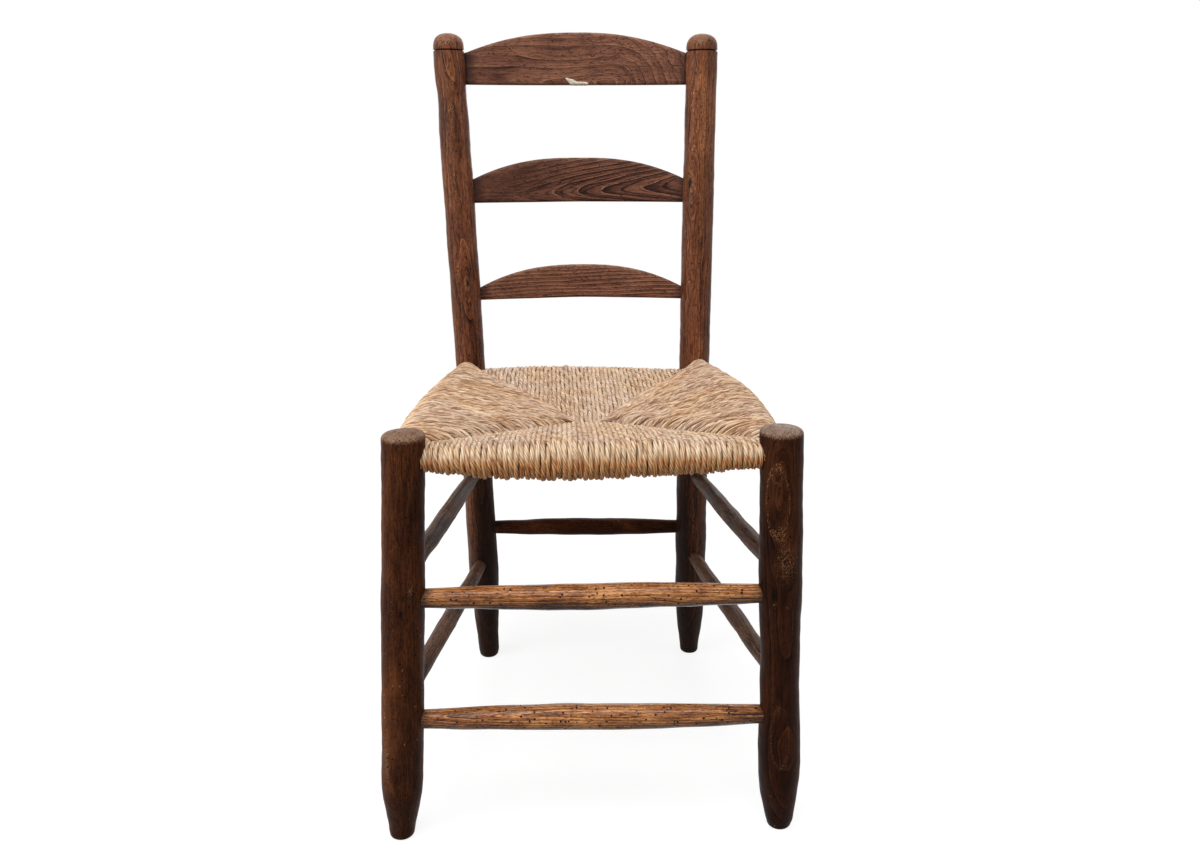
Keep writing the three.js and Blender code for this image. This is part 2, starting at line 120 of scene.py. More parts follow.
def bar_axis(name):
    """Both ends of a straight bar: the middles of the corners at either end of its longest direction."""
    points = node_points(name)
    centred = points - points.mean(0)
    along = np.linalg.svd(centred, full_matrices=False)[2][0]
    reach = centred @ along
    ends = [points[reach < reach.min() + 0.2 * MM], points[reach > reach.max() - 0.2 * MM]]
    return [disc.mean(0) for disc in ends]


def on_upright(name, height):
    """The point of an upright's axis at a height above the floor."""
    foot, tip = upright_axis(name)
    return foot + (tip - foot) * (height - foot[2]) / (tip[2] - foot[2])


for piece in ("front_leg_left", "back_post_right"):
    print(piece, "foot and tip in mm:", np.round(np.array(upright_axis(piece)) / MM, 1).tolist())

# %% [markdown]
# ## Closed skins from rings
#
# Legs, rungs, slats and cords are all the same kind of surface: a ring of points carried along a line, with
# both ends closed. Working them out as one array of rings, and handing that array to Blender in one go,
# is quick and keeps the formula of each piece in sight. Values that a finish needs later, such as
# where the grain runs or how worn a spot is, are stored on the points beside their places.

# %% Join rings into a closed mesh
def ring_faces(rings, around, first):
    """Quads between neighbouring rings, and a fan from a middle point at each end. Faces turn outwards when
    the ring runs counter-clockwise as seen from the far end."""
    row, spot = np.meshgrid(np.arange(rings - 1), np.arange(around), indexing="ij")
    after = (spot + 1) % around
    corners = [row * around + spot, row * around + after,
               (row + 1) * around + after, (row + 1) * around + spot]
    quads = np.stack(corners, axis=-1).reshape(-1, 4)
    spot = np.arange(around)
    after = (spot + 1) % around
    low_middle = np.full(around, rings * around)
    low = np.stack([low_middle, after, spot], axis=1)
    last = (rings - 1) * around
    high = np.stack([low_middle + 1, last + spot, last + after], axis=1)
    return quads + first, np.concatenate([low, high]) + first


def with_middles(field):
    """A field's values as one list, with the mean of the first ring and of the last ring added at its end."""
    flat = field.reshape(field.shape[0] * field.shape[1], -1)
    return np.concatenate([flat, [field[0].reshape(field.shape[1], -1).mean(0)],
                           [field[-1].reshape(field.shape[1], -1).mean(0)]])


def make_piece(name, skins, material, slot, *nodes):
    """Makes one piece of closed skins. A skin is a dictionary of fields with a value or a vector for each
    point of each ring: place is where the point is, and every other field becomes an attribute."""
    quads, fans, lists, first = [], [], {key: [] for key in skins[0]}, 0
    for skin in skins:
        rings, around = skin["place"].shape[:2]
        new_quads, new_fans = ring_faces(rings, around, first)
        quads.append(new_quads)
        fans.append(new_fans)
        for key, field in skin.items():
            lists[key].append(with_middles(field))
        first += rings * around + 2
    quads, fans = np.concatenate(quads), np.concatenate(fans)
    # The places are held inside the imported chair's box, so that hand-made waves don't reach past it.
    places = np.clip(np.concatenate(lists.pop("place")), *cad_box)
    mesh = bpy.data.meshes.new(name)
    mesh.vertices.add(len(places))
    mesh.vertices.foreach_set("co", places.astype(np.float32).ravel())
    mesh.loops.add(quads.size + fans.size)
    mesh.loops.foreach_set("vertex_index", np.concatenate([quads.ravel(), fans.ravel()]).astype(np.int32))
    mesh.polygons.add(len(quads) + len(fans))
    starts = np.concatenate([4 * np.arange(len(quads)), quads.size + 3 * np.arange(len(fans))])
    mesh.polygons.foreach_set("loop_start", starts.astype(np.int32))
    mesh.update(calc_edges=True)
    mesh.shade_smooth()
    for key, parts in lists.items():
        values = np.concatenate(parts).astype(np.float32)
        kind = "FLOAT" if values.shape[1] == 1 else "FLOAT_VECTOR"
        field = mesh.attributes.new(key, kind, "POINT")
        field.data.foreach_set("value" if kind == "FLOAT" else "vector", values.ravel())
    mesh.materials.append(material)
    piece = bpy.data.objects.new(name, mesh)
    bpy.context.scene.collection.objects.link(piece)
    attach(piece, "root")
    if nodes:
        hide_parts(*nodes)
    print(f"{name}: {2 * len(quads) + len(fans)} triangles")
    return piece


# %% [markdown]
# ## Writing a finish
#
# A material is a small network of nodes. Most methods below add a node or two and hand back the output, so a
# finish reads from top to bottom like a recipe: noise for fibres and stains, cells for holes and flecks, and
# ramps that turn a number into a colour.

# %% A short way to write materials
def tone(red, green, blue):
    """A colour as it is seen, from 0 to 255, turned into the linear value that the shader works with."""
    seen = np.array([red, green, blue]) / 255
    return (*np.where(seen > 0.04045, ((seen + 0.055) / 1.055) ** 2.4, seen / 12.92).tolist(), 1.0)


class Recipe:
    """One material. Most methods add a node or two and return the output that the next step uses."""

    def __init__(self, name, gloss_level=0.5):
        self.material = bpy.data.materials.new(name)
        self.material.use_nodes = True
        self.tree = self.material.node_tree
        self.shader = self.tree.nodes["Principled BSDF"]
        self.shader.inputs["Specular IOR Level"].default_value = gloss_level

    def put(self, socket, value):
        if isinstance(value, bpy.types.NodeSocket):
            self.tree.links.new(value, socket)
        else:
            socket.default_value = value

    def node(self, kind, **settings):
        made = self.tree.nodes.new(kind)
        for key, value in settings.items():
            setattr(made, key, value)
        return made

    def field(self, name, output="Fac"):
        return self.node("ShaderNodeAttribute", attribute_name=name).outputs[output]

    def stretched(self, vector, x, y, z):
        made = self.node("ShaderNodeVectorMath", operation="MULTIPLY")
        self.put(made.inputs[0], vector)
        made.inputs[1].default_value = (x, y, z)
        return made.outputs[0]

    def turned(self, vector, degrees):
        """The same places, turned round the x axis."""
        made = self.node("ShaderNodeMapping")
        self.put(made.inputs["Vector"], vector)
        made.inputs["Rotation"].default_value = (math.radians(degrees), 0, 0)
        return made.outputs[0]

    def noise(self, vector, scale=1.0, detail=2.0, roughness=0.5, distortion=0.0):
        made = self.node("ShaderNodeTexNoise")
        self.put(made.inputs["Vector"], vector)
        for key, value in (("Scale", scale), ("Detail", detail), ("Roughness", roughness)):
            made.inputs[key].default_value = value
        made.inputs["Distortion"].default_value = distortion
        return made.outputs["Fac"]

    def cells(self, vector, scale=1.0):
        """Distance to the nearest of many scattered points, and a random colour for each of them."""
        made = self.node("ShaderNodeTexVoronoi")
        self.put(made.inputs["Vector"], vector)
        made.inputs["Scale"].default_value = scale
        return made.outputs["Distance"], made.outputs["Color"]

    def math(self, operation, first, second=0.0, third=0.0, clamp=False):
        made = self.node("ShaderNodeMath", operation=operation, use_clamp=clamp)
        for socket, value in zip(made.inputs, (first, second, third)):
            self.put(socket, value)
        return made.outputs[0]

    def times(self, first, second):
        return self.math("MULTIPLY", first, second)

    def swung(self, total, noise, amount):
        """Total + (noise - 0.5) * amount: the noise moves the total up and down by the same reach."""
        return self.math("MULTIPLY_ADD", self.math("SUBTRACT", noise, 0.5), amount, total)

    def between(self, value, low, high, start=0.0, end=1.0):
        """Start where the value is low or less, end where it is high or more, and smooth in between."""
        made = self.node("ShaderNodeMapRange", interpolation_type="SMOOTHSTEP")
        for socket, number in zip(made.inputs, (value, low, high, start, end)):
            self.put(socket, number)
        return made.outputs[0]

    def fading(self, value, low, high):
        """1 where the value is low or less, 0 where it is high or more."""
        return self.between(value, low, high, 1.0, 0.0)

    def ramp(self, value, *stops):
        made = self.node("ShaderNodeValToRGB")
        colours = made.color_ramp.elements
        while len(colours) < len(stops):
            colours.new(0.5)
        for element, (place, colour) in zip(colours, stops):
            element.position = place
            element.color = colour
        self.put(made.inputs[0], value)
        return made.outputs[0]

    def mixed(self, share, first, second):
        made = self.node("ShaderNodeMix", data_type="RGBA")
        self.put(made.inputs[0], share)
        self.put(made.inputs[6], first)
        self.put(made.inputs[7], second)
        return made.outputs[2]

    def raised(self, height, depth):
        """Lets a height from 0 to 1 bump the surface by a depth in metres."""
        made = self.node("ShaderNodeBump")
        made.inputs["Strength"].default_value = 1.0
        made.inputs["Distance"].default_value = depth
        self.put(made.inputs["Height"], height)
        self.put(self.shader.inputs["Normal"], made.outputs[0])

    def done(self, colour, roughness):
        self.put(self.shader.inputs["Base Color"], colour)
        self.put(self.shader.inputs["Roughness"], roughness)
        return self.material


# %% [markdown]
# ## Old waxed wood
#
# The wood has darkened over a very long time. Close up it has long fibres, growth rings where they come to
# the surface, small pores, flecks of paler wood, worm holes, and edges that hands and clothes have rubbed
# pale. Fibres, stains and rings follow the grain, so the patterns are read from a point's place in its own
# log, where z is the way the fibres run, and from its distance to the middle of the tree.
#
# The rings come first. Distance divided by the gap between rings is a count of years, and its fraction is
# the season within one year. One wave texture would give rings too, but not the pale line that closes each
# year, nor the thin dark ones between.

# %% Growth rings
SLAT_RING_GAP = 6.0


def growth_rings(recipe, log, ring_gap, ring_share):
    """Count = distance to the middle of the tree / gap + a slow noise, and season = its fraction. The tone
    falls with the season squared, a pale line closes the ring, and thin dark lines lie twice as close."""
    slow = recipe.noise(recipe.stretched(log, 50, 50, 9), detail=1, roughness=0.4)
    count = recipe.math("MULTIPLY_ADD", recipe.field("rings"), 1000 / ring_gap, recipe.times(slow, 1.4))
    season = recipe.math("FRACT", count)
    late = recipe.times(recipe.math("POWER", season, 2.0), recipe.fading(season, 0.90, 0.94))
    line = recipe.times(recipe.between(season, 0.90, 0.95), recipe.fading(season, 0.97, 1.0))
    drift = recipe.noise(recipe.stretched(log, 90, 90, 12), detail=0)
    half_count = recipe.math("MULTIPLY_ADD", count, 2.0, recipe.times(drift, 1.8))
    half_season = recipe.math("FRACT", half_count)
    thin = recipe.times(recipe.between(half_season, 0.62, 0.80), recipe.fading(half_season, 0.86, 0.98))
    ring = recipe.math("MULTIPLY_ADD", late, -ring_share, 0.3 * ring_share)
    ring = recipe.math("MULTIPLY_ADD", line, 0.8 * ring_share, ring)
    return recipe.math("MULTIPLY_ADD", thin, -0.6 * ring_share, ring)


# %% [markdown]
# Where many buds grew close together, the wood is a burr: short curled fibres, with pale crumbs between
# small dark pits. Scratches run aslant over the grain. A worm hole is round, so it is everything that lies
# close enough to a scattered point.

# %% Burr, scratches and worm holes
def burr_growth(recipe, log, burr):
    """Crumb noise, pale crumbs and dark pits. Crumbs are the stronger of thin curls, which follow a twisted
    noise where it is near 0.5, and of bits round scattered points. Both need some burr to show."""
    crumb = recipe.noise(recipe.stretched(log, 760, 760, 560), detail=4, roughness=0.7, distortion=1.5)
    curl = recipe.noise(recipe.stretched(log, 330, 330, 250), detail=2, roughness=0.55, distortion=2.4)
    curl = recipe.math("ABSOLUTE", recipe.math("SUBTRACT", curl, 0.5))
    near, pick = recipe.cells(recipe.stretched(log, 860, 860, 700))
    bits = recipe.times(recipe.fading(near, 0.20, 0.44), recipe.math("LESS_THAN", pick, 0.45))
    crumbs = recipe.math("MAXIMUM", recipe.between(curl, 0.006, 0.030, 0.55, 0.0), bits)
    crumbs = recipe.times(crumbs, recipe.between(recipe.swung(burr, crumb, 1.6), 0.25, 0.75))
    crumbs = recipe.times(crumbs, recipe.between(burr, 0.04, 0.3))
    pits = recipe.times(recipe.fading(crumb, 0.36, 0.44), recipe.between(burr, 0.1, 0.7))
    return crumb, crumbs, pits


def scratches(recipe, log):
    """Long thin lines in two directions over the grain, where the scratch field asks for them."""
    one_way = recipe.noise(recipe.stretched(recipe.turned(log, 38), 30, 1300, 42), detail=1)
    other_way = recipe.noise(recipe.stretched(recipe.turned(log, -52), 30, 1300, 42))
    scored = recipe.math("MAXIMUM", one_way, other_way)
    return recipe.times(recipe.between(scored, 0.60, 0.67), recipe.between(recipe.field("scratch"), 0.1, 0.7))


def worm_holes(recipe, log, gap, size):
    """1 within the size of some of the points that lie about a gap apart, both in millimetres."""
    near, pick = recipe.cells(log, 1000 / gap)
    hole = recipe.fading(near, 0.8 * size / gap, size / gap)
    return recipe.times(hole, recipe.math("LESS_THAN", pick, 0.8))


# %% [markdown]
# The finish starts from one tone that fibres, stains and rings move up and down. Everything else is laid
# over it, from the wood's own pores to the dust and the knots, and the worm holes come last. On the lower
# posts the dust layer is painted shade, and at the slat joints the knot colour is painted shade too.

# %% The wood finish
KNOT_TONE = tone(20, 12, 9)
HOLE_TONE = tone(9, 6, 5)


def old_wood(name, dark, middle, light, worn, dust_and_shade_tone, fleck_tone, ring_gap=3.0, ring_share=0.3,
             fibre_share=0.5, stain_share=0.5, pore_share=0.6, fleck_amount=0.25, hole_gap=14.0,
             hole_size=0.95, polish=0.42, shine=0.2):
    """Tone = middle + fibres + stains + rings - shade, each with its own share, read off a ramp from dark
    to light, with the other colours mixed over it in turn. Gaps and sizes are in millimetres."""
    recipe = Recipe(name, shine)
    log = recipe.field("log", "Vector")
    wear, dirt_and_painted_shade, knot_and_painted_shade, burr, shade = (recipe.field(key) for key in ("wear", "dirt_and_painted_shade", "knot_and_painted_shade", "burr", "shade"))
    stain = recipe.noise(recipe.stretched(log, 34, 34, 13), detail=4, roughness=0.6, distortion=0.8)
    fibre = recipe.noise(recipe.stretched(log, 430, 430, 26), detail=4, roughness=0.65)
    fine = recipe.noise(recipe.stretched(log, 1100, 1100, 90), detail=3, roughness=0.6)
    grain = recipe.noise(recipe.stretched(log, 900, 900, 320), detail=3, roughness=0.7)
    crumb, crumbs, pits = burr_growth(recipe, log, burr)
    hole = worm_holes(recipe, log, hole_gap, hole_size)

    total = 0.5
    for noise, share in ((fibre, 2.6 * fibre_share), (fine, 2.4 * fibre_share), (grain, 1.4 * fibre_share),
                         (stain, 2.4 * stain_share)):
        total = recipe.swung(total, noise, share)
    ring_strength = recipe.math("ADD", recipe.field("figure"), 1.0)
    ring = growth_rings(recipe, log, ring_gap, ring_share)
    # The shade field holds painted shade and painted light on the legs, posts and rungs, and plain tone shifts
    # elsewhere.
    total = recipe.math("MULTIPLY_ADD", ring, ring_strength, recipe.math("SUBTRACT", total, shade))
    colour = recipe.ramp(total, (0.05, dark), (0.5, middle), (0.95, light))

    pore = recipe.between(recipe.noise(recipe.stretched(log, 950, 950, 200), detail=1), 0.57, 0.66)
    near, pick = recipe.cells(recipe.stretched(log, 420, 420, 190))
    fleck = recipe.times(recipe.fading(near, 0.14, 0.34), recipe.math("LESS_THAN", pick, fleck_amount))
    fleck = recipe.times(fleck, recipe.between(stain, 0.40, 0.60))
    rubbed = recipe.between(recipe.swung(wear, grain, 2.2), 0.25, 0.95)
    rubbed = recipe.times(rubbed, recipe.between(wear, 0.0, 0.3))
    blotch = recipe.noise(recipe.stretched(log, 190, 190, 190), detail=4, roughness=0.7, distortion=0.8)
    blotchy = recipe.mixed(recipe.between(blotch, 0.44, 0.60, 0.0, 0.55), worn, middle)
    # Dust and dirt where the dirt field asks for them; on the posts below the seat this layer is painted shade.
    dusty_and_shaded = recipe.between(recipe.swung(dirt_and_painted_shade, stain, 1.2), 0.15, 0.95)
    dusty_and_shaded = recipe.times(dusty_and_shaded, recipe.between(dirt_and_painted_shade, 0.0, 0.25))
    # Knots go nearly black, and so does the painted shade at the slat joints.
    blackened = recipe.between(recipe.swung(knot_and_painted_shade, crumb, 1.6), 0.30, 0.75)
    blackened = recipe.times(blackened, recipe.between(knot_and_painted_shade, 0.0, 0.2))
    for share, laid in ((recipe.times(pore, pore_share), dark), (recipe.times(fleck, 0.7), fleck_tone),
                        (recipe.times(crumbs, 0.9), fleck_tone), (recipe.times(pits, 0.75), dark),
                        (recipe.times(scratches(recipe, log), 0.7), dark), (rubbed, blotchy),
                        (recipe.times(dusty_and_shaded, 0.85), dust_and_shade_tone), (blackened, KNOT_TONE), (hole, HOLE_TONE)):
        colour = recipe.mixed(share, colour, laid)

    height = recipe.math("MULTIPLY_ADD", fibre, 0.5, recipe.times(fine, 0.35))
    for part, rise in ((pore, -0.35), (crumbs, 0.4), (hole, -3.0)):
        height = recipe.math("MULTIPLY_ADD", part, rise, height)
    recipe.raised(height, 0.3 * MM)
    gloss = recipe.swung(recipe.swung(polish, stain, 0.4), grain, 0.5)
    gloss = recipe.math("MULTIPLY_ADD", dusty_and_shaded, 0.22, gloss)
    return recipe.done(colour, recipe.math("MULTIPLY_ADD", hole, 0.4, gloss, clamp=True))


# %% [markdown]
# The pieces of this chair differ in tone, so the finish is mixed six times: dark for the left leg and the
# back rung, full of burr for the right leg, redder for the posts, with bold rings for the slats, golden for
# the front rungs, and greyish for the side rungs.

# %% Mix the six wood finishes
dark_wood = old_wood("dark_waxed_wood", tone(18, 9, 6), tone(70, 38, 23), tone(112, 65, 38),
                     tone(150, 122, 102), tone(92, 70, 56), tone(206, 150, 104), fleck_amount=0.1,
                     hole_gap=10, fibre_share=0.26, stain_share=0.6, ring_share=0.13, polish=0.40, shine=0.03)
burr_wood = old_wood("dark_burr_wood", tone(15, 8, 6), tone(56, 29, 18), tone(90, 52, 31),
                     tone(158, 132, 114), tone(92, 72, 60), tone(206, 142, 94), ring_gap=4.0,
                     fleck_amount=0.05, hole_gap=10, fibre_share=0.18, stain_share=0.5, pore_share=0.4,
                     ring_share=0.3, polish=0.40, shine=0.03)
# The posts' nearly black dust tone is painted shade below the seat as much as dust.
red_wood = old_wood("red_brown_wood", tone(34, 17, 11), tone(118, 70, 47), tone(166, 108, 72),
                    tone(146, 114, 92), tone(24, 14, 10), tone(204, 146, 94), fleck_amount=0.16,
                    hole_gap=11, fibre_share=0.34, stain_share=0.4, pore_share=0.7, ring_share=0.3,
                    polish=0.36, shine=0.09)
slat_wood = old_wood("slat_wood", tone(40, 22, 18), tone(120, 78, 61), tone(172, 122, 93),
                     tone(164, 120, 86), tone(44, 29, 27), tone(180, 122, 84), fleck_amount=0.08,
                     ring_gap=SLAT_RING_GAP, hole_gap=10, fibre_share=0.20, stain_share=0.28, pore_share=0.7,
                     ring_share=0.34, polish=0.40, shine=0.10)
golden_wood = old_wood("golden_rung_wood", tone(58, 27, 11), tone(166, 102, 56), tone(236, 170, 108),
                       tone(214, 166, 118), tone(34, 20, 13), tone(236, 188, 130), ring_share=0.5,
                       fibre_share=0.45, stain_share=0.6, pore_share=0.7, fleck_amount=0.12,
                       hole_gap=6.8, hole_size=1.35, polish=0.15, shine=0.18)
grey_wood = old_wood("grey_rung_wood", tone(36, 22, 16), tone(98, 68, 51), tone(146, 110, 87),
                     tone(148, 118, 98), tone(36, 24, 18), tone(166, 126, 94), fibre_share=0.42,
                     stain_share=0.6, fleck_amount=0.12, hole_gap=12, polish=0.42, shine=0.04)
print("wood finishes:", [m.name for m in bpy.data.materials if "wood" in m.name])

# %% [markdown]
# ## Legs and posts
#
# A turner copies a leg from a story stick: a few heights, each with the width to turn it down to. A smooth
# curve through those stations gives the outline, and the outline is carried round a leaning axis. The old
# legs are no longer truly round, so a sum of slow waves moves the surface in and out by a few tenths of a
# millimetre. A lathe modifier would do the round shape, but not the lean with a flat foot, nor the waves.

# %% Outline and unevenness
def through_stations(stations, at):
    """A smooth curve through stations of place and size. Between two of them it is a cubic, and its slope at
    a station is the harmonic mean of the slopes beside it, or none where the size turns."""
    place, size = np.array(stations, float).T
    gap = np.diff(place)
    rise = np.diff(size) / gap
    before, after = rise[:-1], rise[1:]
    same_way = before * after > 0
    harmonic = 2 * before * after / np.where(same_way, before + after, 1)
    slope = np.concatenate([rise[:1], np.where(same_way, harmonic, 0), rise[-1:]])
    part = np.clip(np.searchsorted(place, at) - 1, 0, len(gap) - 1)
    t = np.clip((at - place[part]) / gap[part], 0, 1)
    start = size[part] * (1 + 2 * t) * (1 - t) ** 2 + slope[part] * gap[part] * t * (1 - t) ** 2
    return start + size[part + 1] * t * t * (3 - 2 * t) + slope[part + 1] * gap[part] * t * t * (t - 1)


WAVES = 10


def hand_waves(angle, along, reach, seed, slowest=2, fastest=16, most_round=4):
    """Unevenness of a hand-made surface: some waves with random phases, which go round the piece up to
    most_round times, and slowest to fastest times in each metre. Reach is about their usual height."""
    random = np.random.default_rng(seed)
    total = np.zeros(np.broadcast(angle, along).shape)
    for _ in range(WAVES):
        rounds = random.integers(0, most_round + 1)
        in_metre = random.uniform(slowest, fastest)
        start = random.random()
        total += np.cos(rounds * angle + math.tau * (in_metre * along + start))
    return reach * total / math.sqrt(WAVES)


def bulge(first, first_at, first_reach, second, second_at, second_reach):
    """One round swelling on two coordinates: 1 in its middle and 0 far from it."""
    return np.exp(-((first - first_at) / first_reach) ** 2 - ((second - second_at) / second_reach) ** 2)


# %% Turn an upright
AROUND = 72
RING_STEP = 3.6 * MM


def spot(angle, height, middle, level, wide, high):
    """A soft patch on an upright, given by its middle and its reach in degrees round and metres up."""
    turned = (np.degrees(angle) - middle + 180) % 360 - 180
    return bulge(turned, 0, wide, height, level, high)


def level_band(angle, height, level, reach):
    """A soft line round an upright at one level."""
    return np.exp(-((height - level) / reach) ** 2) + 0 * angle


def oval_band(angle, height, middle, level, wide, high, band):
    """A soft line along an oval on an upright: 1 where the oval's own distance is 1, falling off by band."""
    turned = (np.degrees(angle) - middle + 180) % 360 - 180
    away = np.hypot(turned / wide, (height - level) / high)
    return np.exp(-((away - 1) / band) ** 2)


def turned_upright(name, material, slot, outline, pith, seed, worn_top, worn_reach, sway=0.0, marks=()):
    """Rings of a leaning upright: foot + lean * height + radius * (cos, sin). Outline gives heights and
    radii from the flat foot to the top, and pith is the middle of the tree beside the axis, with its lean.
    A mark is the name of a field, how much is added to it, and a spot or an oval band with its places."""
    foot, tip = upright_axis(name)
    tall = tip[2] - foot[2]
    height, radius = (np.array(values)[:, None] for values in outline)
    angle = np.linspace(0, math.tau, AROUND, endpoint=False)[None, :]
    grip = np.clip(np.minimum(height, tall - height) / (8 * MM), 0, 1)
    uneven = hand_waves(angle, height, 0.35 * MM, seed)
    uneven = uneven + hand_waves(angle, height, 0.12 * MM, seed + 1, 15, 60, 7)
    reach = radius + grip * uneven * radius / radius.max()
    x, y = reach * np.cos(angle), reach * np.sin(angle)
    z = np.broadcast_to(height, x.shape)
    lean = (tip - foot) / tall
    bend = sway * np.sin(math.pi * z / tall)
    place = np.stack([foot[0] + lean[0] * z + bend + x, foot[1] + lean[1] * z + y, z], axis=-1)
    under_top = tall - z
    wear = np.clip(1.3 - under_top / worn_reach, 0, 1) * worn_top
    fields = {
        "rings": np.hypot(x - pith[0] - pith[2] * z, y - pith[1] - pith[3] * z),
        "wear": np.maximum(wear, 0.3 * np.clip(1 - z / (5 * MM), 0, 1)),
        "dirt_and_painted_shade": 0.4 * np.clip(1 - under_top / (3 * MM), 0, 1) * worn_top,
        "knot_and_painted_shade": np.zeros(x.shape),
        "burr": 0.7 * np.clip(1.6 - under_top / (5 * MM), 0, 1),
        "shade": np.zeros(x.shape),
    }
    for field, amount, shape, *places in marks:
        fields[field] = fields[field] + amount * shape(angle, z, *places)
    skin = {"place": place, "log": np.stack([x, y, z + 0.9 * seed], axis=-1), **fields}
    return make_piece(name, [skin], material, slot, name)


FOOT_ROUNDING = 4.5 * MM


def foot_rounded(stations, upper):
    """Heights and radii from the foot up: a flat sole, a quarter circle, and the stations' curve to upper."""
    corner = np.linspace(0, math.pi / 2, 6)[1:]
    sole = through_stations(stations, 0) * MM - FOOT_ROUNDING
    low = FOOT_ROUNDING * (1 - np.cos(corner))
    low_radius = sole + FOOT_ROUNDING * np.sin(corner)
    rise = np.arange(FOOT_ROUNDING + RING_STEP, upper, RING_STEP)
    radii = through_stations(stations, rise / MM) * MM
    start = np.clip((rise - FOOT_ROUNDING) / (8 * MM), 0, 1)
    radii = (1 - start) * np.minimum(radii, low_radius[-1] + start * 2 * MM) + start * radii
    flat = sole * np.array([0.35, 0.7, 1.0])
    return np.concatenate([np.zeros(3), low, rise]), np.concatenate([flat, low_radius, radii])


# %% [markdown]
# The front legs end in a flat top whose edge is worn round. The back posts end in a dome, with one groove
# scribed below it on the lathe. Both kinds taper to small round feet.

# %% Make the legs and posts
LEG_HEIGHT = 450
LEG_TOP_ROUNDING = 5.0
LEFT_LEG_STATIONS = [(0, 13.4), (14, 14.5), (27, 16.6), (40, 18.8), (53, 20.8), (72, 21.9), (115, 22.1),
                     (275, 21.7), (380, 21.0), (450, 21.5)]
RIGHT_LEG_STATIONS = [(0, 13.2), (15, 15.7), (28, 17.8), (41, 20.0), (67, 22.1), (100, 22.3), (155, 20.4),
                      (213, 20.5), (290, 22.0), (370, 21.4), (450, 21.4)]
POST_HEIGHT = 846
DOME_HEIGHT = 16
DOME_FULLNESS = 2.3
GROOVE_BELOW_TIP = 20.5
GROOVE_HALF_WIDTH = 0.8
GROOVE_DEPTH = 1.6
LEFT_POST_STATIONS = [(0, 13.2), (17, 14.5), (34, 15.2), (51, 16.5), (139, 20.5), (175, 20.4), (430, 19.4),
                      (590, 19.6), (740, 19.1), (766, 18.4), (800, 19.2), (846, 19.3)]
RIGHT_POST_STATIONS = [(0, 13.0), (15, 13.8), (34, 16.0), (51, 18.0), (67, 19.5), (120, 21.0), (300, 21.2),
                       (430, 20.0), (590, 20.4), (740, 19.8), (846, 19.6)]


def leg_outline(stations, crown):
    """A leg's heights and radii: rounded foot, turned length, rounded edge and a top that is crowned by some
    millimetres in its middle."""
    rounding = LEG_TOP_ROUNDING * MM
    body_height, body_radius = foot_rounded(stations, LEG_HEIGHT * MM - rounding)
    corner = np.linspace(0, math.pi / 2, 8)
    rim = body_radius[-1] - rounding
    inwards = np.array([0.85, 0.7, 0.55, 0.4, 0.25, 0.12])
    height = LEG_HEIGHT * MM + rounding * (np.sin(corner) - 1)
    top = (LEG_HEIGHT + crown * (1 - inwards ** 2)) * MM
    return (np.concatenate([body_height, height, top]),
            np.concatenate([body_radius, rim + rounding * np.cos(corner), rim * inwards]))


def post_outline(stations):
    """A post's heights and radii: rounded foot, turned length with a scribed groove, and a full dome."""
    base = POST_HEIGHT - DOME_HEIGHT
    groove = POST_HEIGHT - GROOVE_BELOW_TIP
    height, radius = foot_rounded(stations, (groove - 3 * GROOVE_HALF_WIDTH) * MM)
    fine = np.linspace(groove - 2.4 * GROOVE_HALF_WIDTH, groove + 2.4 * GROOVE_HALF_WIDTH, 13)
    cut = GROOVE_DEPTH * np.exp(-((fine - groove) / GROOVE_HALF_WIDTH) ** 4)
    scribed = through_stations(stations, fine) - cut
    turn = np.linspace(0.0, 0.985, 16)
    dome_radius = through_stations(stations, base) * (1 - turn ** DOME_FULLNESS) ** (1 / DOME_FULLNESS)
    return (np.concatenate([height, fine * MM, (base + DOME_HEIGHT * turn) * MM]),
            np.concatenate([radius, scribed * MM, dome_radius * MM]))


LEG_WEAR = 6 * MM
# On the domes the pale greyish worn colour stands for wear and for a painted sheen.
DOME_WEAR_AND_SHEEN = 17 * MM
groove_line = ("knot_and_painted_shade", 1.3, level_band, (POST_HEIGHT - GROOVE_BELOW_TIP) * MM, 0.8 * MM)

turned_upright("front_leg_left", dark_wood, "dark_wood", leg_outline(LEFT_LEG_STATIONS, 3.4),
               (0.012, 0.030, 0.01, -0.012), 11, 0.72, LEG_WEAR, marks=[
                   ("knot_and_painted_shade", 0.8, spot, -87, 0.269, 7, 0.006),
                   ("knot_and_painted_shade", 0.8, spot, -70, 0.262, 4, 0.004),
                   ("knot_and_painted_shade", 0.9, spot, -56, 0.287, 3, 0.008),
                   ("burr", 1.0, spot, -62, 0.292, 8, 0.010),
                   ("shade", 0.30, spot, -99, 0.085, 6, 0.022),
                   ("burr", 0.45, spot, -136, 0.100, 18, 0.030),
                   # Painted light: this shade mark lifts the outer left side.
                   ("shade", -0.14, spot, -152, 0.22, 24, 0.30),
                   ("burr", 0.4, spot, -112, 0.27, 10, 0.11),
                   ("burr", 0.4, spot, -130, 0.12, 12, 0.07),
                   ("shade", 0.14, level_band, 0.0, 0.09),
                   # Painted light: these two shade marks lift the outer and front faces.
                   ("shade", -0.05, spot, -140, 0.2, 40, 0.25),
                   ("shade", -0.10, spot, -92, 0.24, 34, 0.26),
                   ("rings", 0.004, spot, -88, 0.30, 24, 0.05)])
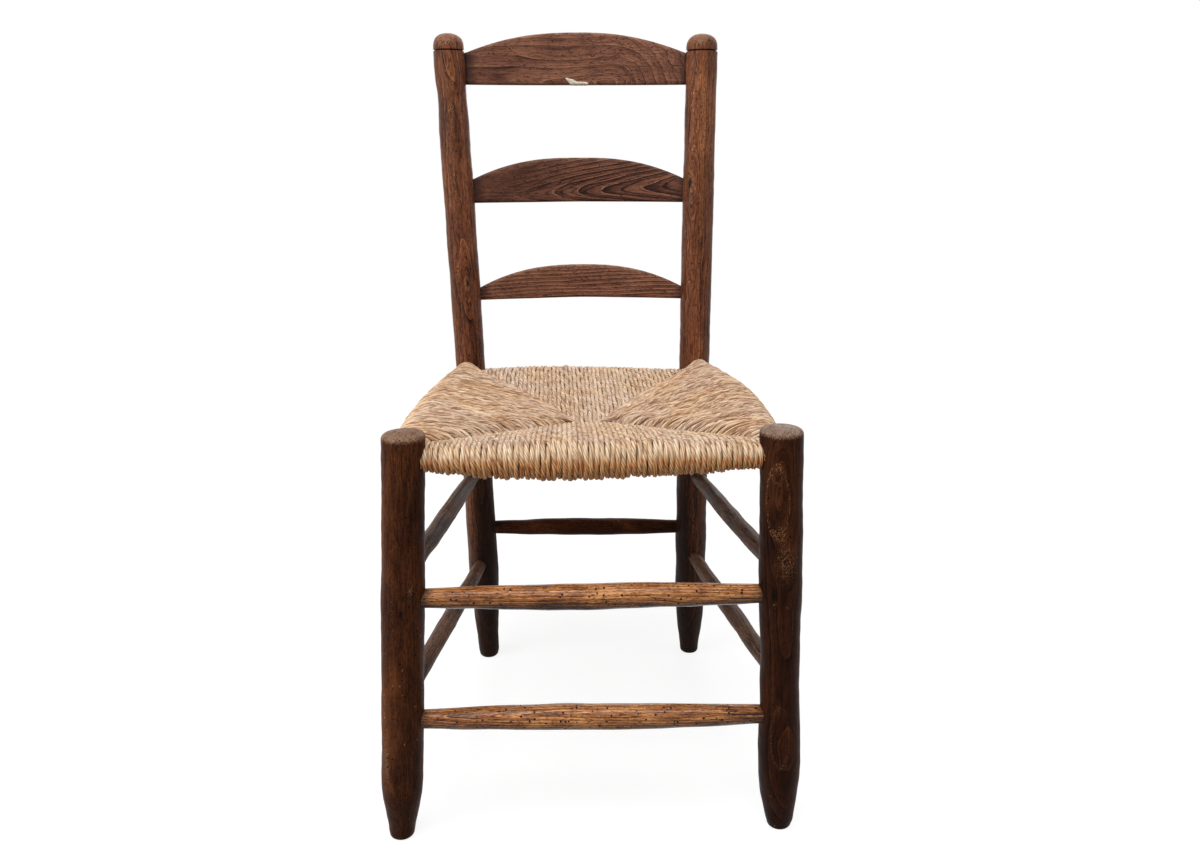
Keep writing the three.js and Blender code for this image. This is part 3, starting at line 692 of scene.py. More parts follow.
turned_upright("front_leg_right", burr_wood, "dark_wood", leg_outline(RIGHT_LEG_STATIONS, 1.4),
               (-0.004, 0.034, 0.0, 0.01), 12, 0.72, LEG_WEAR, marks=[
                   ("burr", 0.95, oval_band, -112, 0.380, 32, 0.037, 0.08),
                   ("burr", 0.6, oval_band, -112, 0.408, 13, 0.009, 0.4),
                   ("burr", 0.7, spot, -104, 0.350, 20, 0.009),
                   ("burr", 0.8, spot, -84, 0.318, 32, 0.024),
                   ("knot_and_painted_shade", 0.9, spot, -118, 0.282, 9, 0.010),
                   ("burr", 0.6, spot, -116, 0.272, 9, 0.005),
                   ("knot_and_painted_shade", 0.7, spot, -75, 0.344, 3, 0.003),
                   ("burr", 0.5, oval_band, -100, 0.12, 26, 0.035, 0.16),
                   ("shade", -0.16, spot, -88, 0.322, 34, 0.030),
                   ("shade", -0.5, spot, -112, 0.381, 8, 0.005),
                   ("shade", -0.06, spot, -112, 0.381, 24, 0.030),
                   ("shade", 0.16, level_band, 0.0, 0.11),
                   # Painted shade: this mark darkens the inner side, which faces the other leg.
                   ("shade", 0.16, spot, 172, 0.30, 44, 0.30),
                   ("rings", 0.012, spot, -112, 0.385, 34, 0.050)])
turned_upright("back_post_left", red_wood, "red_wood", post_outline(LEFT_POST_STATIONS),
               (-0.010, 0.026, 0.012, 0.004), 13, 0.62, DOME_WEAR_AND_SHEEN, sway=1.0 * MM, marks=[
                   groove_line,
                   ("knot_and_painted_shade", 1.0, spot, -74, 0.538, 7, 0.005),
                   ("burr", 0.8, spot, -78, 0.536, 15, 0.014),
                   ("rings", 0.008, spot, -76, 0.540, 24, 0.030),
                   ("burr", 0.6, spot, -92, 0.765, 20, 0.06),
                   ("burr", 0.5, spot, -100, 0.66, 18, 0.06),
                   # Painted shade below the seat: this band and the last dirt band darken the lower post.
                   ("shade", 0.30, level_band, 0.0, 0.52),
                   # Painted light: these two marks lift the lit outer front side out of that painted shade.
                   ("shade", -0.16, spot, -142, 0.25, 34, 0.30),
                   ("dirt_and_painted_shade", -0.8, spot, -142, 0.25, 34, 0.30),
                   ("dirt_and_painted_shade", 1.2, level_band, 0.0, 0.34)])
turned_upright("back_post_right", red_wood, "red_wood", post_outline(RIGHT_POST_STATIONS),
               (0.014, 0.022, -0.01, 0.006), 14, 0.62, DOME_WEAR_AND_SHEEN, sway=-1.2 * MM, marks=[
                   groove_line,
                   ("knot_and_painted_shade", 1.0, spot, -131, 0.664, 8, 0.008),
                   ("knot_and_painted_shade", 0.9, spot, -99, 0.813, 7, 0.0015),
                   ("burr", 1.0, spot, -126, 0.668, 17, 0.020),
                   ("rings", 0.010, spot, -128, 0.666, 26, 0.034),
                   ("burr", 0.6, spot, -84, 0.75, 22, 0.06),
                   ("burr", 0.45, spot, -80, 0.62, 14, 0.09),
                   # Painted shade below the seat: this band and the last dirt band darken the lower post.
                   ("shade", 0.36, level_band, 0.0, 0.52),
                   # Painted light: these two marks lift the lit outer front side out of that painted shade.
                   ("shade", -0.16, spot, -70, 0.25, 34, 0.30),
                   ("dirt_and_painted_shade", -0.8, spot, -70, 0.25, 34, 0.30),
                   ("dirt_and_painted_shade", 1.2, level_band, 0.0, 0.34)])

# %% [markdown]
# ## Rungs
#
# The rungs swell towards the middle, where they need their strength, and are thin where they enter the legs.
# The front ones are worn smooth by feet, with only faint flats, and their lower sides carry painted shade.
# The side rungs were shaved with a knife, so their section is a loose polygon whose flats wander along the
# piece.

# %% Make the rungs
RUNG_AROUND = 40
RUNG_STEP = 3.2 * MM


def rung(name, material, slot, end_radius, middle_radius, seed, flats=0, flat_share=0.0, pith=(0.02, 0.01),
         painted_shade_below=0.0):
    """Rings along a straight bar: radius = end + (middle - end) * sin(pi * share). Flats pull the section
    towards a polygon by flat_share, and painted shade darkens the side that faces the floor."""
    start, end = bar_axis(name)
    if end[0] + end[1] < start[0] + start[1]:
        start, end = end, start
    along = end - start
    length = np.linalg.norm(along)
    along = along / length
    side = np.cross(along, [0, 0, 1])
    side = side / np.linalg.norm(side)
    up = np.cross(side, along)
    share = np.linspace(0, 1, int(length / RUNG_STEP))[:, None]
    angle = np.linspace(0, math.tau, RUNG_AROUND, endpoint=False)[None, :]
    radius = (end_radius + (middle_radius - end_radius) * np.sin(math.pi * share)) * MM
    reach = radius + hand_waves(angle, share * length, 0.25 * MM, seed, 3, 22)
    if flats:
        wander = 0.5 * np.sin(math.tau * (1.3 * share + 0.1 * seed)) + 0.15 * np.sin(math.tau * 4.1 * share)
        turn = (angle + wander + 0.25 * np.sin(2 * angle)) % (math.tau / flats) - math.pi / flats
        polygon = math.cos(math.pi / flats) / np.cos(turn)
        reach = reach * ((1 - flat_share) + flat_share * polygon / (0.5 + 0.5 * math.cos(math.pi / flats)))
    x, y = reach * np.cos(angle), reach * np.sin(angle)
    sag = hand_waves(0, share * length, 0.5 * MM, seed + 5, 1, 5) * np.sin(math.pi * share)
    # Seen from the far end, (up, side) turns the same way as (x, y).
    place = start + along * (share * length)[..., None] + up * (x + sag)[..., None] + side * -y[..., None]
    z = np.broadcast_to(share * length, x.shape)
    rings = np.hypot(x - pith[0] + 0.02 * z, y - pith[1])
    near_end = np.minimum(z, length - z)
    dirt_and_painted_shade = 0.9 * np.clip(1 - (near_end - 14 * MM) / (16 * MM), 0, 1)
    wear = 0.25 * np.clip(np.cos(angle), 0, 1) * np.sin(math.pi * share)
    skin = {"place": place, "log": np.stack([x, y, z + 0.7 * seed], axis=-1),
            "rings": rings, "wear": wear, "dirt_and_painted_shade": dirt_and_painted_shade,
            # Painted shade on the side that faces the floor.
            "shade": painted_shade_below * np.clip(0.15 - np.cos(angle), 0, 1) + 0 * x}
    return make_piece(name, [skin], material, slot, name)


# The front rungs get painted shade on their lower sides.
rung("front_rung_upper", golden_wood, "golden_wood", 9.2, 13.3, 21, 9, 0.25, painted_shade_below=0.4)
rung("front_rung_lower", golden_wood, "golden_wood", 9.2, 13.6, 22, 9, 0.25, pith=(0.016, -0.014),
     painted_shade_below=0.3)
for name, seed, flats in (("side_rung_left_upper", 23, 7), ("side_rung_left_lower", 24, 7),
                          ("side_rung_right_upper", 25, 8), ("side_rung_right_lower", 26, 7)):
    rung(name, grey_wood, "grey_wood", 8.2, 10.4, seed, flats, 0.6)
rung("back_rung", dark_wood, "dark_wood", 8.2, 12.0, 27, 9, 0.3)

# %% [markdown]
# ## Slats
#
# Each slat was split from a board, steamed and bent backwards between the posts, and its top edge was cut to
# an arch. The section is a board with round edges whose height follows the arch, carried along the bend.
# Its grain runs sideways, so in its own log z is the way across the chair.

# %% Section of a board with round edges
def board_section(flat_steps=12, corner_steps=4):
    """Points round a board as four lists: side is -1 on the front face and 1 on the back, level is 0 at the
    lower edge and 1 at the upper one, and two cosines push the point out by the edge's rounding."""
    turn = np.linspace(0, math.pi / 2, corner_steps)
    flat = np.linspace(0, 1, flat_steps + 2)[1:-1]
    none, one = np.zeros(flat_steps), np.ones(flat_steps)
    side = [np.ones(corner_steps), [0], -np.ones(corner_steps), -one, -np.ones(corner_steps), [0],
            np.ones(corner_steps), one]
    level = [np.ones(corner_steps), [1], np.ones(corner_steps), flat[::-1], np.zeros(corner_steps), [0],
             np.zeros(corner_steps), flat]
    quarter = [turn, turn + math.pi / 2, turn + math.pi, turn + 1.5 * math.pi]
    out = [np.cos(quarter[0]), [0], np.cos(quarter[1]), -one, np.cos(quarter[2]), [0],
           np.cos(quarter[3]), one]
    rise = [np.sin(quarter[0]), [1], np.sin(quarter[1]), none, np.sin(quarter[2]), [-1],
            np.sin(quarter[3]), none]
    return [np.concatenate(part)[None, :] for part in (side, level, out, rise)]


# %% Make the slats
SLAT_THICKNESS = 9.6
SLAT_BOW = 21
SLAT_TENON = 15
SLAT_EDGE_ROUNDING = 3.6
SLAT_RINGS = 130


def slat_lines(name):
    """What a slat is measured from: the middle and half of its width across, its lower level, how far back
    the left post's axis is at that level, the post's lean, and half of the slat's visible width."""
    low, high = (np.array(corner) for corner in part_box(name))
    half = (high[0] - low[0]) / 2
    foot, tip = upright_axis("back_post_left")
    lean = (tip[1] - foot[1]) / (tip[2] - foot[2])
    post_back = on_upright("back_post_left", low[2])[1]
    return (low[0] + high[0]) / 2, half, low[2], post_back, lean, half - SLAT_TENON * MM


def nested_ovals(across, height, middle, level, reach, stretch, tilt):
    """Ring distance of half ovals round one spot. On the right they close at 1.3 times their height, and on
    the left the sideways distance is reach * tanh(x / reach) / stretch, so they run out into level lines."""
    away = across - middle
    sideways = np.where(away > 0, away / 1.3, reach * np.tanh(away / reach) / stretch)
    return np.hypot(sideways, height - level - tilt * away)


def pointed_arches(across, height, middle, level, roundness, slope, tilt):
    """Ring distance of arches that lie on their side and point left: hypot(height - level, roundness) less
    slope times the way across. Their tips follow each other along the level."""
    away = across - middle
    return np.hypot(height - level - tilt * away, roundness) - slope * away


def slat(name, end_width, crown_width, arch_power, seed, ring_distance, ring_gap, strength, figure_from,
         edge_wear, scratched, shade=0.0):
    """A board that follows bow * (1 - share squared) behind the posts and leans with them. Its height is
    end + (crown - end) * (1 - share to the arch power)."""
    middle, half, level_zero, line_y, lean, visible = slat_lines(name)
    share = np.linspace(-1, 1, SLAT_RINGS)[:, None]
    across = share * half
    inner = np.clip(np.abs(across) / visible, 0, 1)
    width = (end_width + (crown_width - end_width) * (1 - inner ** arch_power)) * MM
    width = width + hand_waves(0, across, 0.35 * MM, seed, 2, 9) * (1 - inner)
    side, level, out, rise = board_section()
    rounding = SLAT_EDGE_ROUNDING * MM
    thick = SLAT_THICKNESS * MM / 2 + hand_waves(3 * level, across, 0.18 * MM, seed + 1, 3, 20)
    depth = side * (thick - rounding) + rounding * out
    height = rounding + level * (width - 2 * rounding) + rounding * rise
    height = height + (1 - level) * hand_waves(0, across, 0.3 * MM, seed + 2, 2, 8) * (1 - inner)
    bow = SLAT_BOW * MM * (1 - share ** 2)
    x = np.broadcast_to(middle + across, height.shape)
    place = np.stack([x, line_y + bow + depth + lean * height, level_zero + height], axis=-1)
    to_post = visible - np.abs(across)
    from_top = width - height
    ragged = 1 + 0.8 * hand_waves(0, across, 1.0, seed + 4, 10, 90)
    skin = {
        "place": place,
        "log": np.stack([depth, height, np.broadcast_to(across, height.shape) + 0.8 * seed], axis=-1),
        "rings": (ring_distance(across, height) + 0.4 * depth) * SLAT_RING_GAP / ring_gap,
        "figure": (1 + strength) * np.clip(0.6 + 8 * (across - figure_from), 0, 1) - 1 + 0 * height,
        "shade": shade + 0 * height,
        "wear": (edge_wear * np.clip(1 - from_top / (4 * MM), 0, 1) * np.clip(ragged, 0, 1.6)
                 * (1 - 0.6 * inner)),
        "dirt_and_painted_shade": 0.9 * np.clip(1 - to_post / (22 * MM), 0, 1) + 0 * height,
        # Painted shade: a dark line where the slat goes into the post.
        "knot_and_painted_shade": 0.9 * np.clip(1 - to_post / (4 * MM), 0, 1) + 0 * height,
        "scratch": 1.2 * bulge(across, scratched[0], 0.034, height, scratched[1], 0.016),
    }
    return make_piece(name, [skin], slat_wood, "red_wood", name)


slat("top_slat", 38, 64.2, 2.2, 31,
     lambda across, height: nested_ovals(across, height, 0.044, 0.001, 0.05, 3, 0.0),
     10.5, -0.2, -0.2, 0.7, (0.040, 0.046))
slat("middle_slat", 30, 56.5, 2.5, 32,
     lambda across, height: pointed_arches(across, height, -0.03, 0.013, 0.007, 0.15, 0.05),
     6.4, 0.8, -0.03, 0.5, (-0.05, 0.045), shade=0.18)
slat("bottom_slat", 16, 44, 2.5, 33,
     lambda across, height: nested_ovals(across, height, 0.30, -0.10, 0.02, 3, 0.03),
     5.0, 0.6, -0.2, 0.7, (0.02, 0.042))

# %% [markdown]
# ## A flake of old paint
#
# One chip of whitish paint is left on the lower edge of the top slat. It is a thin scale with a torn outline
# that lies on the face and bends under the rounded edge, so it is made on the board's own section: each ring
# runs up the outside of the scale and back down inside the wood.

# %% Make the flake
FLAKE_THICKNESS = 0.5
FLAKE_SUNK = 0.4
# Place across the slat, lower and upper end above its lower edge, in millimetres
FLAKE_OUTLINE = [(-13.6, 8.2, 8.9), (-12.4, 6.9, 9.0), (-10.8, 4.6, 8.9), (-9.0, 2.2, 8.3), (-7.2, -2.2, 7.7),
                 (-4.6, -2.6, 7.3), (-2.0, -2.4, 6.1), (0.6, -2.6, 4.8), (4.0, -2.5, 4.4), (8.0, -2.6, 4.3),
                 (12.8, -2.4, 4.0), (14.6, -2.0, 3.6), (15.4, -1.6, 2.4)]


def paint_material():
    """Chalky off-white paint with a little grime in it."""
    recipe = Recipe("old_paint", 0.3)
    place = recipe.node("ShaderNodeTexCoord").outputs["Object"]
    grime = recipe.noise(place, 420, detail=3, roughness=0.7)
    recipe.raised(grime, 0.15 * MM)
    return recipe.done(recipe.ramp(grime, (0.30, tone(168, 154, 138)), (0.55, tone(222, 212, 198))), 0.6)


def paint_flake(seed=5):
    """A thin shell on the top slat: path is measured up the face from the foot of the rounded edge, and
    below 0 it goes on under the slat."""
    middle, half, level_zero, line_y, lean, _ = slat_lines("top_slat")
    rounding = SLAT_EDGE_ROUNDING * MM
    random = np.random.default_rng(seed)
    across, low, high = (np.array(FLAKE_OUTLINE).T + random.normal(0, 0.12, (3, len(FLAKE_OUTLINE)))) * MM
    across, low, high = (values[:, None] for values in (across, low, high))
    up = np.linspace(0, 1, 9)[None, :]
    outside, inside = low + (high - low) * up, high + (low - high) * up
    path = np.concatenate([outside, inside], axis=1)
    skin_height = FLAKE_THICKNESS * MM * np.clip(6 * np.minimum(up, 1 - up), 0, 1)
    above = np.concatenate([skin_height + 0 * low, -FLAKE_SUNK * MM + 0 * inside], axis=1)
    turn = np.clip((rounding - path) / rounding, 0, math.pi / 2)
    depth = rounding - SLAT_THICKNESS * MM / 2 - (rounding + above) * np.cos(turn)
    height = rounding - (rounding + above) * np.sin(turn) + np.maximum(path - rounding, 0)
    bow = SLAT_BOW * MM * (1 - (across / half) ** 2)
    x = np.broadcast_to(middle + across, height.shape)
    place = np.stack([x, line_y + bow + depth + lean * height, level_zero + height], axis=-1)
    return make_piece("paint_flake", [{"place": place}], paint_material(), "red_wood")


paint_flake()

# %% [markdown]
# ## Rush seat: where the cords run
#
# A rush seat is one endless cord. It goes over a rail, up through the middle, over the next rail and so on
# round the four corners, so on top each rail ends up with its own panel of parallel cords, and the panels
# meet in diagonal seams. The front rail is longer than the back one, and the last cords fill the middle
# from front to back only. A texture can't give the rolled edges and bumpy outline of such a seat, so every
# cord is a tube of its own, in one piece for each panel.

# %% Corners, seams and rolls of the seat
CORNER_CORDS = {"front": 31, "back": 24}
MIDDLE_CORDS = 6
SEAM_START_IN_LEG = 9
MIDDLE_WIDTH = 30
MIDDLE_BEHIND_LEGS = 186
MIDDLE_HEIGHT = 406
SEAM_POWER = {"front": 1.0, "back": 2.2}
RAIL_END_RADIUS = 6.5
WRAP_THICKNESS = 5.5
WRAP_UNDER_THICKNESS = 9
PANEL_PUFF = 2
SEAT_THICKNESS = 24

# Rail node, its radius and flatness, how far its roll bulges out, and where along it that is most
RAILS = [
    ("seat_rail_front", 13, 1.0, 0.0, 1.0),
    ("seat_rail_right", 13, 0.8, 13.5, 1.2),
    ("seat_rail_back", 10, 1.0, 0.0, 1.0),
    ("seat_rail_left", 13, 0.8, 9.5, 0.6),
]
SEAT_CORNERS = [
    ("front_leg_left", 1, 1, "front"),
    ("front_leg_right", -1, 1, "front"),
    ("back_post_right", -1, -1, "back"),
    ("back_post_left", 1, -1, "back"),
]
SIDE_RAIL_HEIGHT = bar_axis("seat_rail_left")[0][2]
leg_tops = [on_upright(leg, LEG_HEIGHT * MM)[:2] for leg in ("front_leg_left", "front_leg_right")]
legs_line = (leg_tops[0] + leg_tops[1]) / 2


def seat_corner(upright, side_x, side_y, end):
    """Where a seam starts inside a leg, where it ends in the middle of the seat, and its two heights."""
    axis = on_upright(upright, SIDE_RAIL_HEIGHT)
    rail_height = bar_axis("seat_rail_" + end)[0][2]
    return {
        "x": axis[0] + side_x * SEAM_START_IN_LEG * MM,
        "y": axis[1] + side_y * SEAM_START_IN_LEG * MM,
        "z": rail_height + (RAIL_END_RADIUS + WRAP_THICKNESS) * MM,
        "middle_x": legs_line[0] - side_x * MIDDLE_WIDTH * MM / 2,
        "cords": CORNER_CORDS[end],
        "power": SEAM_POWER[end],
    }


corners = [seat_corner(*corner) for corner in SEAT_CORNERS]
middle_y = legs_line[1] + MIDDLE_BEHIND_LEGS * MM


def panel_plan(side):
    """For each cord of a panel: its point on the upper seam, its point on the rail, and the roll's reach,
    rise and drop there. Along a seam the height goes from the corner's to the middle's as share ** power."""
    node, rail_radius, flatness, bulge_out, skew = RAILS[side]
    from_corner, to_corner = corners[side], corners[(side + 1) % 4]
    middle = MIDDLE_CORDS if from_corner["middle_x"] != to_corner["middle_x"] else 0
    count = from_corner["cords"] + middle + to_corner["cords"]
    cord = np.arange(count) + 0.5
    turns = [0, from_corner["cords"], from_corner["cords"] + middle, count]
    seam_x = np.interp(cord, turns, [from_corner["x"], from_corner["middle_x"], to_corner["middle_x"],
                                     to_corner["x"]])
    seam_y = np.interp(cord, turns, [from_corner["y"], middle_y, middle_y, to_corner["y"]])
    inward = np.interp(cord, turns, [0, 1, 1, 0])
    first_half = cord < turns[1]
    power = np.where(first_half, from_corner["power"], to_corner["power"])
    start_z = np.where(first_half, from_corner["z"], to_corner["z"])
    seam_z = start_z + (MIDDLE_HEIGHT * MM - start_z) * inward ** power
    a, b = bar_axis(node)
    heading = np.array([[1, 0], [0, 1], [-1, 0], [0, -1]][side])
    if (b - a)[:2] @ heading < 0:
        a, b = b, a
    along = (b - a) / np.linalg.norm(b - a)
    ends = [a + along * ((np.array([c["x"], c["y"]]) - a[:2]) @ along[:2]) for c in (from_corner, to_corner)]
    share = cord / count
    rail = ends[0] + (ends[1] - ends[0]) * share[:, None]
    wide = RAIL_END_RADIUS + (rail_radius - RAIL_END_RADIUS) * np.sin(math.pi * share)
    way_back = share if side == 1 else 1 - share
    reach = wide + WRAP_THICKNESS + bulge_out * np.sin(math.pi * way_back ** skew)
    return {
        "seam": np.stack([seam_x, seam_y, seam_z], axis=1), "rail": rail, "along": along, "share": share,
        "outward": np.array([along[1], -along[0], 0]) / np.hypot(along[0], along[1]), "count": count,
        "reach": reach * MM, "rise": (wide * flatness + WRAP_THICKNESS) * MM,
        "drop": (wide * flatness + WRAP_UNDER_THICKNESS) * MM,
        "rail_gap": np.linalg.norm(ends[1] - ends[0]) / count, "way_back": way_back,
    }


plans = [panel_plan(side) for side in range(4)]
print("cords in each panel:", [plan["count"] for plan in plans])

# %% [markdown]
# ## Rush seat: twisting a cord
#
# Each cord is a few rush leaves twisted together. The creases between its leaves turn as they go along, so
# light catches it in slanted dashes. At the front and back it has five leaves and a tight twist. At the
# sides it has seven, hardly twisted, that lie in long wavy strands. The points of a ring turn with the
# twist, so that the creases stay sharp on few points.

# %% One cord
CORD_STEP = 2.5 * MM
UNDER_STEP = 5.5 * MM
SWEEP_PLACE = 15 * MM


def cord_route(plan, index, sunk, over_seam, dive, sag=0.0, sweep=0.0, dip=0.0, dip_reach=0.01, lift=0.0):
    """The line of one cord as points, with a share of 0 on top, 0 to 1 round the roll and 1 underneath.
    From the seam it rises straight to the rail, goes round it on half an ellipse, and returns below. It
    dips by dip * exp(-(distance / reach) squared) at the seam, and sweeps backwards beside it."""
    seam, rail, outward = plan["seam"][index], plan["rail"][index], plan["outward"]
    rise, drop = plan["rise"][index] - sunk + lift, plan["drop"][index] - sunk + sag
    reach = plan["reach"][index] - sunk
    way = np.linspace(0, 1, 26)[:-1, None]
    top = seam + (rail - seam) * way
    puff = PANEL_PUFF * MM * np.sin(math.pi * way[:, 0])
    top[:, 2] = seam[2] - sunk + (rail[2] + rise - seam[2] + sunk) * way[:, 0] + puff
    away = way[:, 0] * np.linalg.norm(rail - seam)
    top[:, 1] += sweep * (away / SWEEP_PLACE) * np.exp(1 - away / SWEEP_PLACE)
    top[:, 2] -= dip * np.exp(-(away / dip_reach) ** 2)
    angle = np.linspace(math.pi / 2, -math.pi / 2, 25)
    roll = rail + outward * (reach * np.cos(angle))[:, None]
    roll[:, 2] += np.where(angle > 0, rise, drop) * np.sin(angle)
    back = np.linspace(0, 1, 14)[1:, None]
    under = rail + (seam - rail) * back
    under[:, 2] = rail[2] - drop + (seam[2] - SEAT_THICKNESS * MM + sunk - rail[2] + drop) * back[:, 0]
    inward = (seam - rail) * np.array([1, 1, 0])
    inward = inward / max(np.linalg.norm(inward), 1e-6)
    into = seam + inward * over_seam - np.array([0, 0, sunk + dip])
    deep = into + inward * 1.5 * MM - np.array([0, 0, dive])
    rest = under[-1] + inward * 2 * MM + np.array([0, 0, 0.6 * dive])
    line = np.concatenate([[deep], [(deep + into) / 2 + inward * 1.0 * MM], [into], top, roll, under, [rest]])
    turn = np.concatenate([np.zeros(3 + len(top)), np.linspace(0, 1, len(roll)), np.ones(len(under) + 1)])
    return line, turn


def even_steps(line, turn):
    """The same line with its kinks rounded off, on points CORD_STEP apart, and further apart underneath."""
    def measured(points):
        return np.concatenate([[0], np.cumsum(np.linalg.norm(np.diff(points, axis=0), axis=1))])

    length = measured(line)
    fine = np.arange(0, length[-1], 0.8 * MM)
    dense = np.stack([np.interp(fine, length, line[:, k]) for k in range(3)], axis=1)
    dense_turn = np.interp(fine, length, turn)
    window = np.hanning(9)
    window = window / window.sum()
    padded = np.concatenate([np.repeat(dense[:1], 4, 0), dense, np.repeat(dense[-1:], 4, 0)])
    dense = np.stack([np.convolve(padded[:, k], window, "valid") for k in range(3)], axis=1)
    speed = 1 / np.where(dense_turn < 0.97, CORD_STEP, UNDER_STEP)
    rings = np.concatenate([[0], np.cumsum(speed[1:] * np.diff(fine))])
    at = np.interp(np.linspace(0, rings[-1], int(rings[-1]) + 2), rings, fine)
    route = np.stack([np.interp(at, fine, dense[:, k]) for k in range(3)], axis=1)
    return route, np.interp(at, fine, dense_turn), at


def twisted_cord(route, turn, at, along, half_wide, half_thick, twist, random, cord_id):
    """A tube round a route, twisted from leaves of unequal width with a crease between them. Ring point =
    route + side * wide * r * cos + normal * thick * r * sin, with r = 1 - crease * |2 part - 1| cubed, where
    part goes from 0 to 1 across a leaf. The angle turns once in each pitch."""
    ahead = np.gradient(route, axis=0)
    ahead = ahead / np.linalg.norm(ahead, axis=1, keepdims=True)
    side = along - ahead * (ahead @ along)[:, None]
    side = side / np.linalg.norm(side, axis=1, keepdims=True)
    normal = np.cross(ahead, side)
    leaves = twist["leaves"]
    shares = np.cumsum(np.concatenate([[0], random.uniform(0.6, 1.4, leaves)]))
    edges = math.tau * shares / shares[-1]
    points = twist["points"]
    part = np.arange(points) / points
    own = (edges[:-1, None] + np.diff(edges)[:, None] * part).ravel()[None, :]
    crease = np.abs(2 * np.tile(part, leaves) - 1)[None, :] ** 3
    depth = np.repeat(twist["crease"] * random.uniform(0.5, 1.3, leaves), points)[None, :]
    pitch = twist["pitch"] * random.uniform(0.8, 1.25)
    drift = 0.6 * np.sin(math.tau * at / random.uniform(0.03, 0.07) + random.uniform(0, math.tau))
    seen = own + (random.uniform(0, math.tau) - math.tau * at / pitch + drift)[:, None]
    radius = 1 - depth * crease + 0 * seen
    swell = 1 + 0.07 * np.sin(math.tau * at / random.uniform(0.02, 0.05) + random.uniform(0, math.tau))
    wide = (half_wide * swell)[:, None] * radius * np.cos(seen)
    thick = (half_thick * swell)[:, None] * radius * np.sin(seen)
    place = route[:, None, :] + side[:, None, :] * wide[..., None] + normal[:, None, :] * thick[..., None]
    leaf_tint = np.repeat(random.normal(0, 0.09, leaves), points)[None, :]
    tint = twist["tone"] + leaf_tint + random.normal(0, 0.035) + 0 * seen
    # Painted shade: gap is high in the creases and where the cord touches its neighbours.
    gap = np.clip(0.28 * np.abs(np.cos(seen)) ** 4 + 0.8 * crease, 0, 1)
    fibre = np.stack([at[:, None] + 0.37 * cord_id + 0 * seen, half_thick * np.cos(own) + 0 * seen,
                      half_thick * np.sin(own) + 0 * seen], axis=-1)
    return {"place": place, "strand": fibre, "tint": tint, "gap": gap,
            "turn": np.broadcast_to(turn[:, None], seen.shape)}


# %% [markdown]
# ## Rush finish
#
# Dry rush is straw coloured. Where light and dust reached it, it went pinkish grey in patches, and below, out
# of the light, it kept a golden brown. The pale band round the top of the front roll is a painted highlight,
# and painted shade darkens the creases. Fine fibres run along every leaf and turn with it, so the noise is read
# from the strand's own coordinates.

# %% The rush finish
def rush_material():
    """Colour = a ramp over tint and fibre noise, tinted by how far the cord has gone round its roll, with a
    painted highlight at the top of the roll and painted shade in the creases, deepest on the lower roll."""
    recipe = Recipe("dry_rush", 0.35)
    strand = recipe.field("strand", "Vector")
    tint = recipe.field("tint")
    gap = recipe.field("gap")
    turn = recipe.field("turn")
    fibre = recipe.noise(recipe.stretched(strand, 60, 700, 700), detail=3, roughness=0.6)
    hair = recipe.noise(recipe.stretched(strand, 150, 1500, 1500), detail=2, roughness=0.6)
    patch = recipe.noise(recipe.stretched(strand, 42, 90, 90), detail=3, roughness=0.6)
    place = recipe.node("ShaderNodeTexCoord").outputs["Object"]
    worn = recipe.noise(place, 16, detail=3)
    total = recipe.swung(tint, fibre, 2.0)
    total = recipe.swung(total, patch, 0.45)
    total = recipe.swung(total, hair, 1.4)
    # Painted highlight: the top of the front roll is lifted pale.
    total = recipe.math("ADD", total, recipe.between(turn, 0.10, 0.28, 0.0, 0.16))
    grey = recipe.ramp(total, (0.08, tone(144, 104, 76)), (0.5, tone(214, 182, 154)),
                       (0.88, tone(242, 220, 196)))
    straw = recipe.ramp(total, (0.08, tone(138, 92, 56)), (0.5, tone(214, 176, 137)),
                        (0.88, tone(246, 221, 187)))
    brown = recipe.ramp(total, (0.12, tone(112, 60, 26)), (0.5, tone(244, 158, 92)),
                        (0.88, tone(254, 206, 146)))
    colour = recipe.mixed(recipe.between(worn, 0.40, 0.62), grey, straw)
    colour = recipe.mixed(recipe.between(turn, 0.10, 0.30), colour, straw)
    colour = recipe.mixed(recipe.between(turn, 0.34, 0.58), colour, brown)
    # Painted shade in the creases and between the cords, stronger on the lower roll.
    shade = recipe.between(gap, 0.2, 1.0, 0.0, 0.6)
    shade = recipe.times(shade, recipe.between(turn, 0.35, 0.6, 1.0, 1.65))
    colour = recipe.mixed(shade, colour, tone(84, 48, 26))
    height = recipe.math("MULTIPLY_ADD", fibre, 0.6, recipe.times(hair, 0.4))
    recipe.raised(height, 0.6 * MM)
    return recipe.done(colour, recipe.math("MULTIPLY_ADD", fibre, 0.3, 0.42))


rush = rush_material()
print("rush finish:", len(rush.node_tree.nodes), "nodes")

# %% Wrap the four panels
ROPED = {"tone": 0.5, "leaves": 5, "points": 3, "pitch": 38 * MM, "crease": 0.32, "wide": 0.53,
         "waver": 0.5 * MM, "lift": 0.3 * MM}
# The side panels' lower tone is painted shade, so that under the side lamps they look no paler than the front
# and back.
WAVY = {"tone": 0.36, "leaves": 7, "points": 3, "pitch": 100 * MM, "crease": 0.42, "wide": 0.57,
        "waver": 1.3 * MM, "lift": 0.5 * MM}
HALF_THICK = 2.6 * MM
PANEL_NAMES = ["rush_front", "rush_right", "rush_back", "rush_left"]
# How far the cords hang below the front roll, and how far those of the back roll lie above its even line, at
# shares of the roll's length
FRONT_SAG = ([0, 0.08, 0.2, 0.45, 0.7, 0.9, 1.0], [-3.0, -2.6, 0.8, 1.2, -0.8, -1.6, -1.2])
BACK_LIFT = ([0, 0.25, 0.75, 1.0], [-1.6, -1.2, 2.4, 2.0])
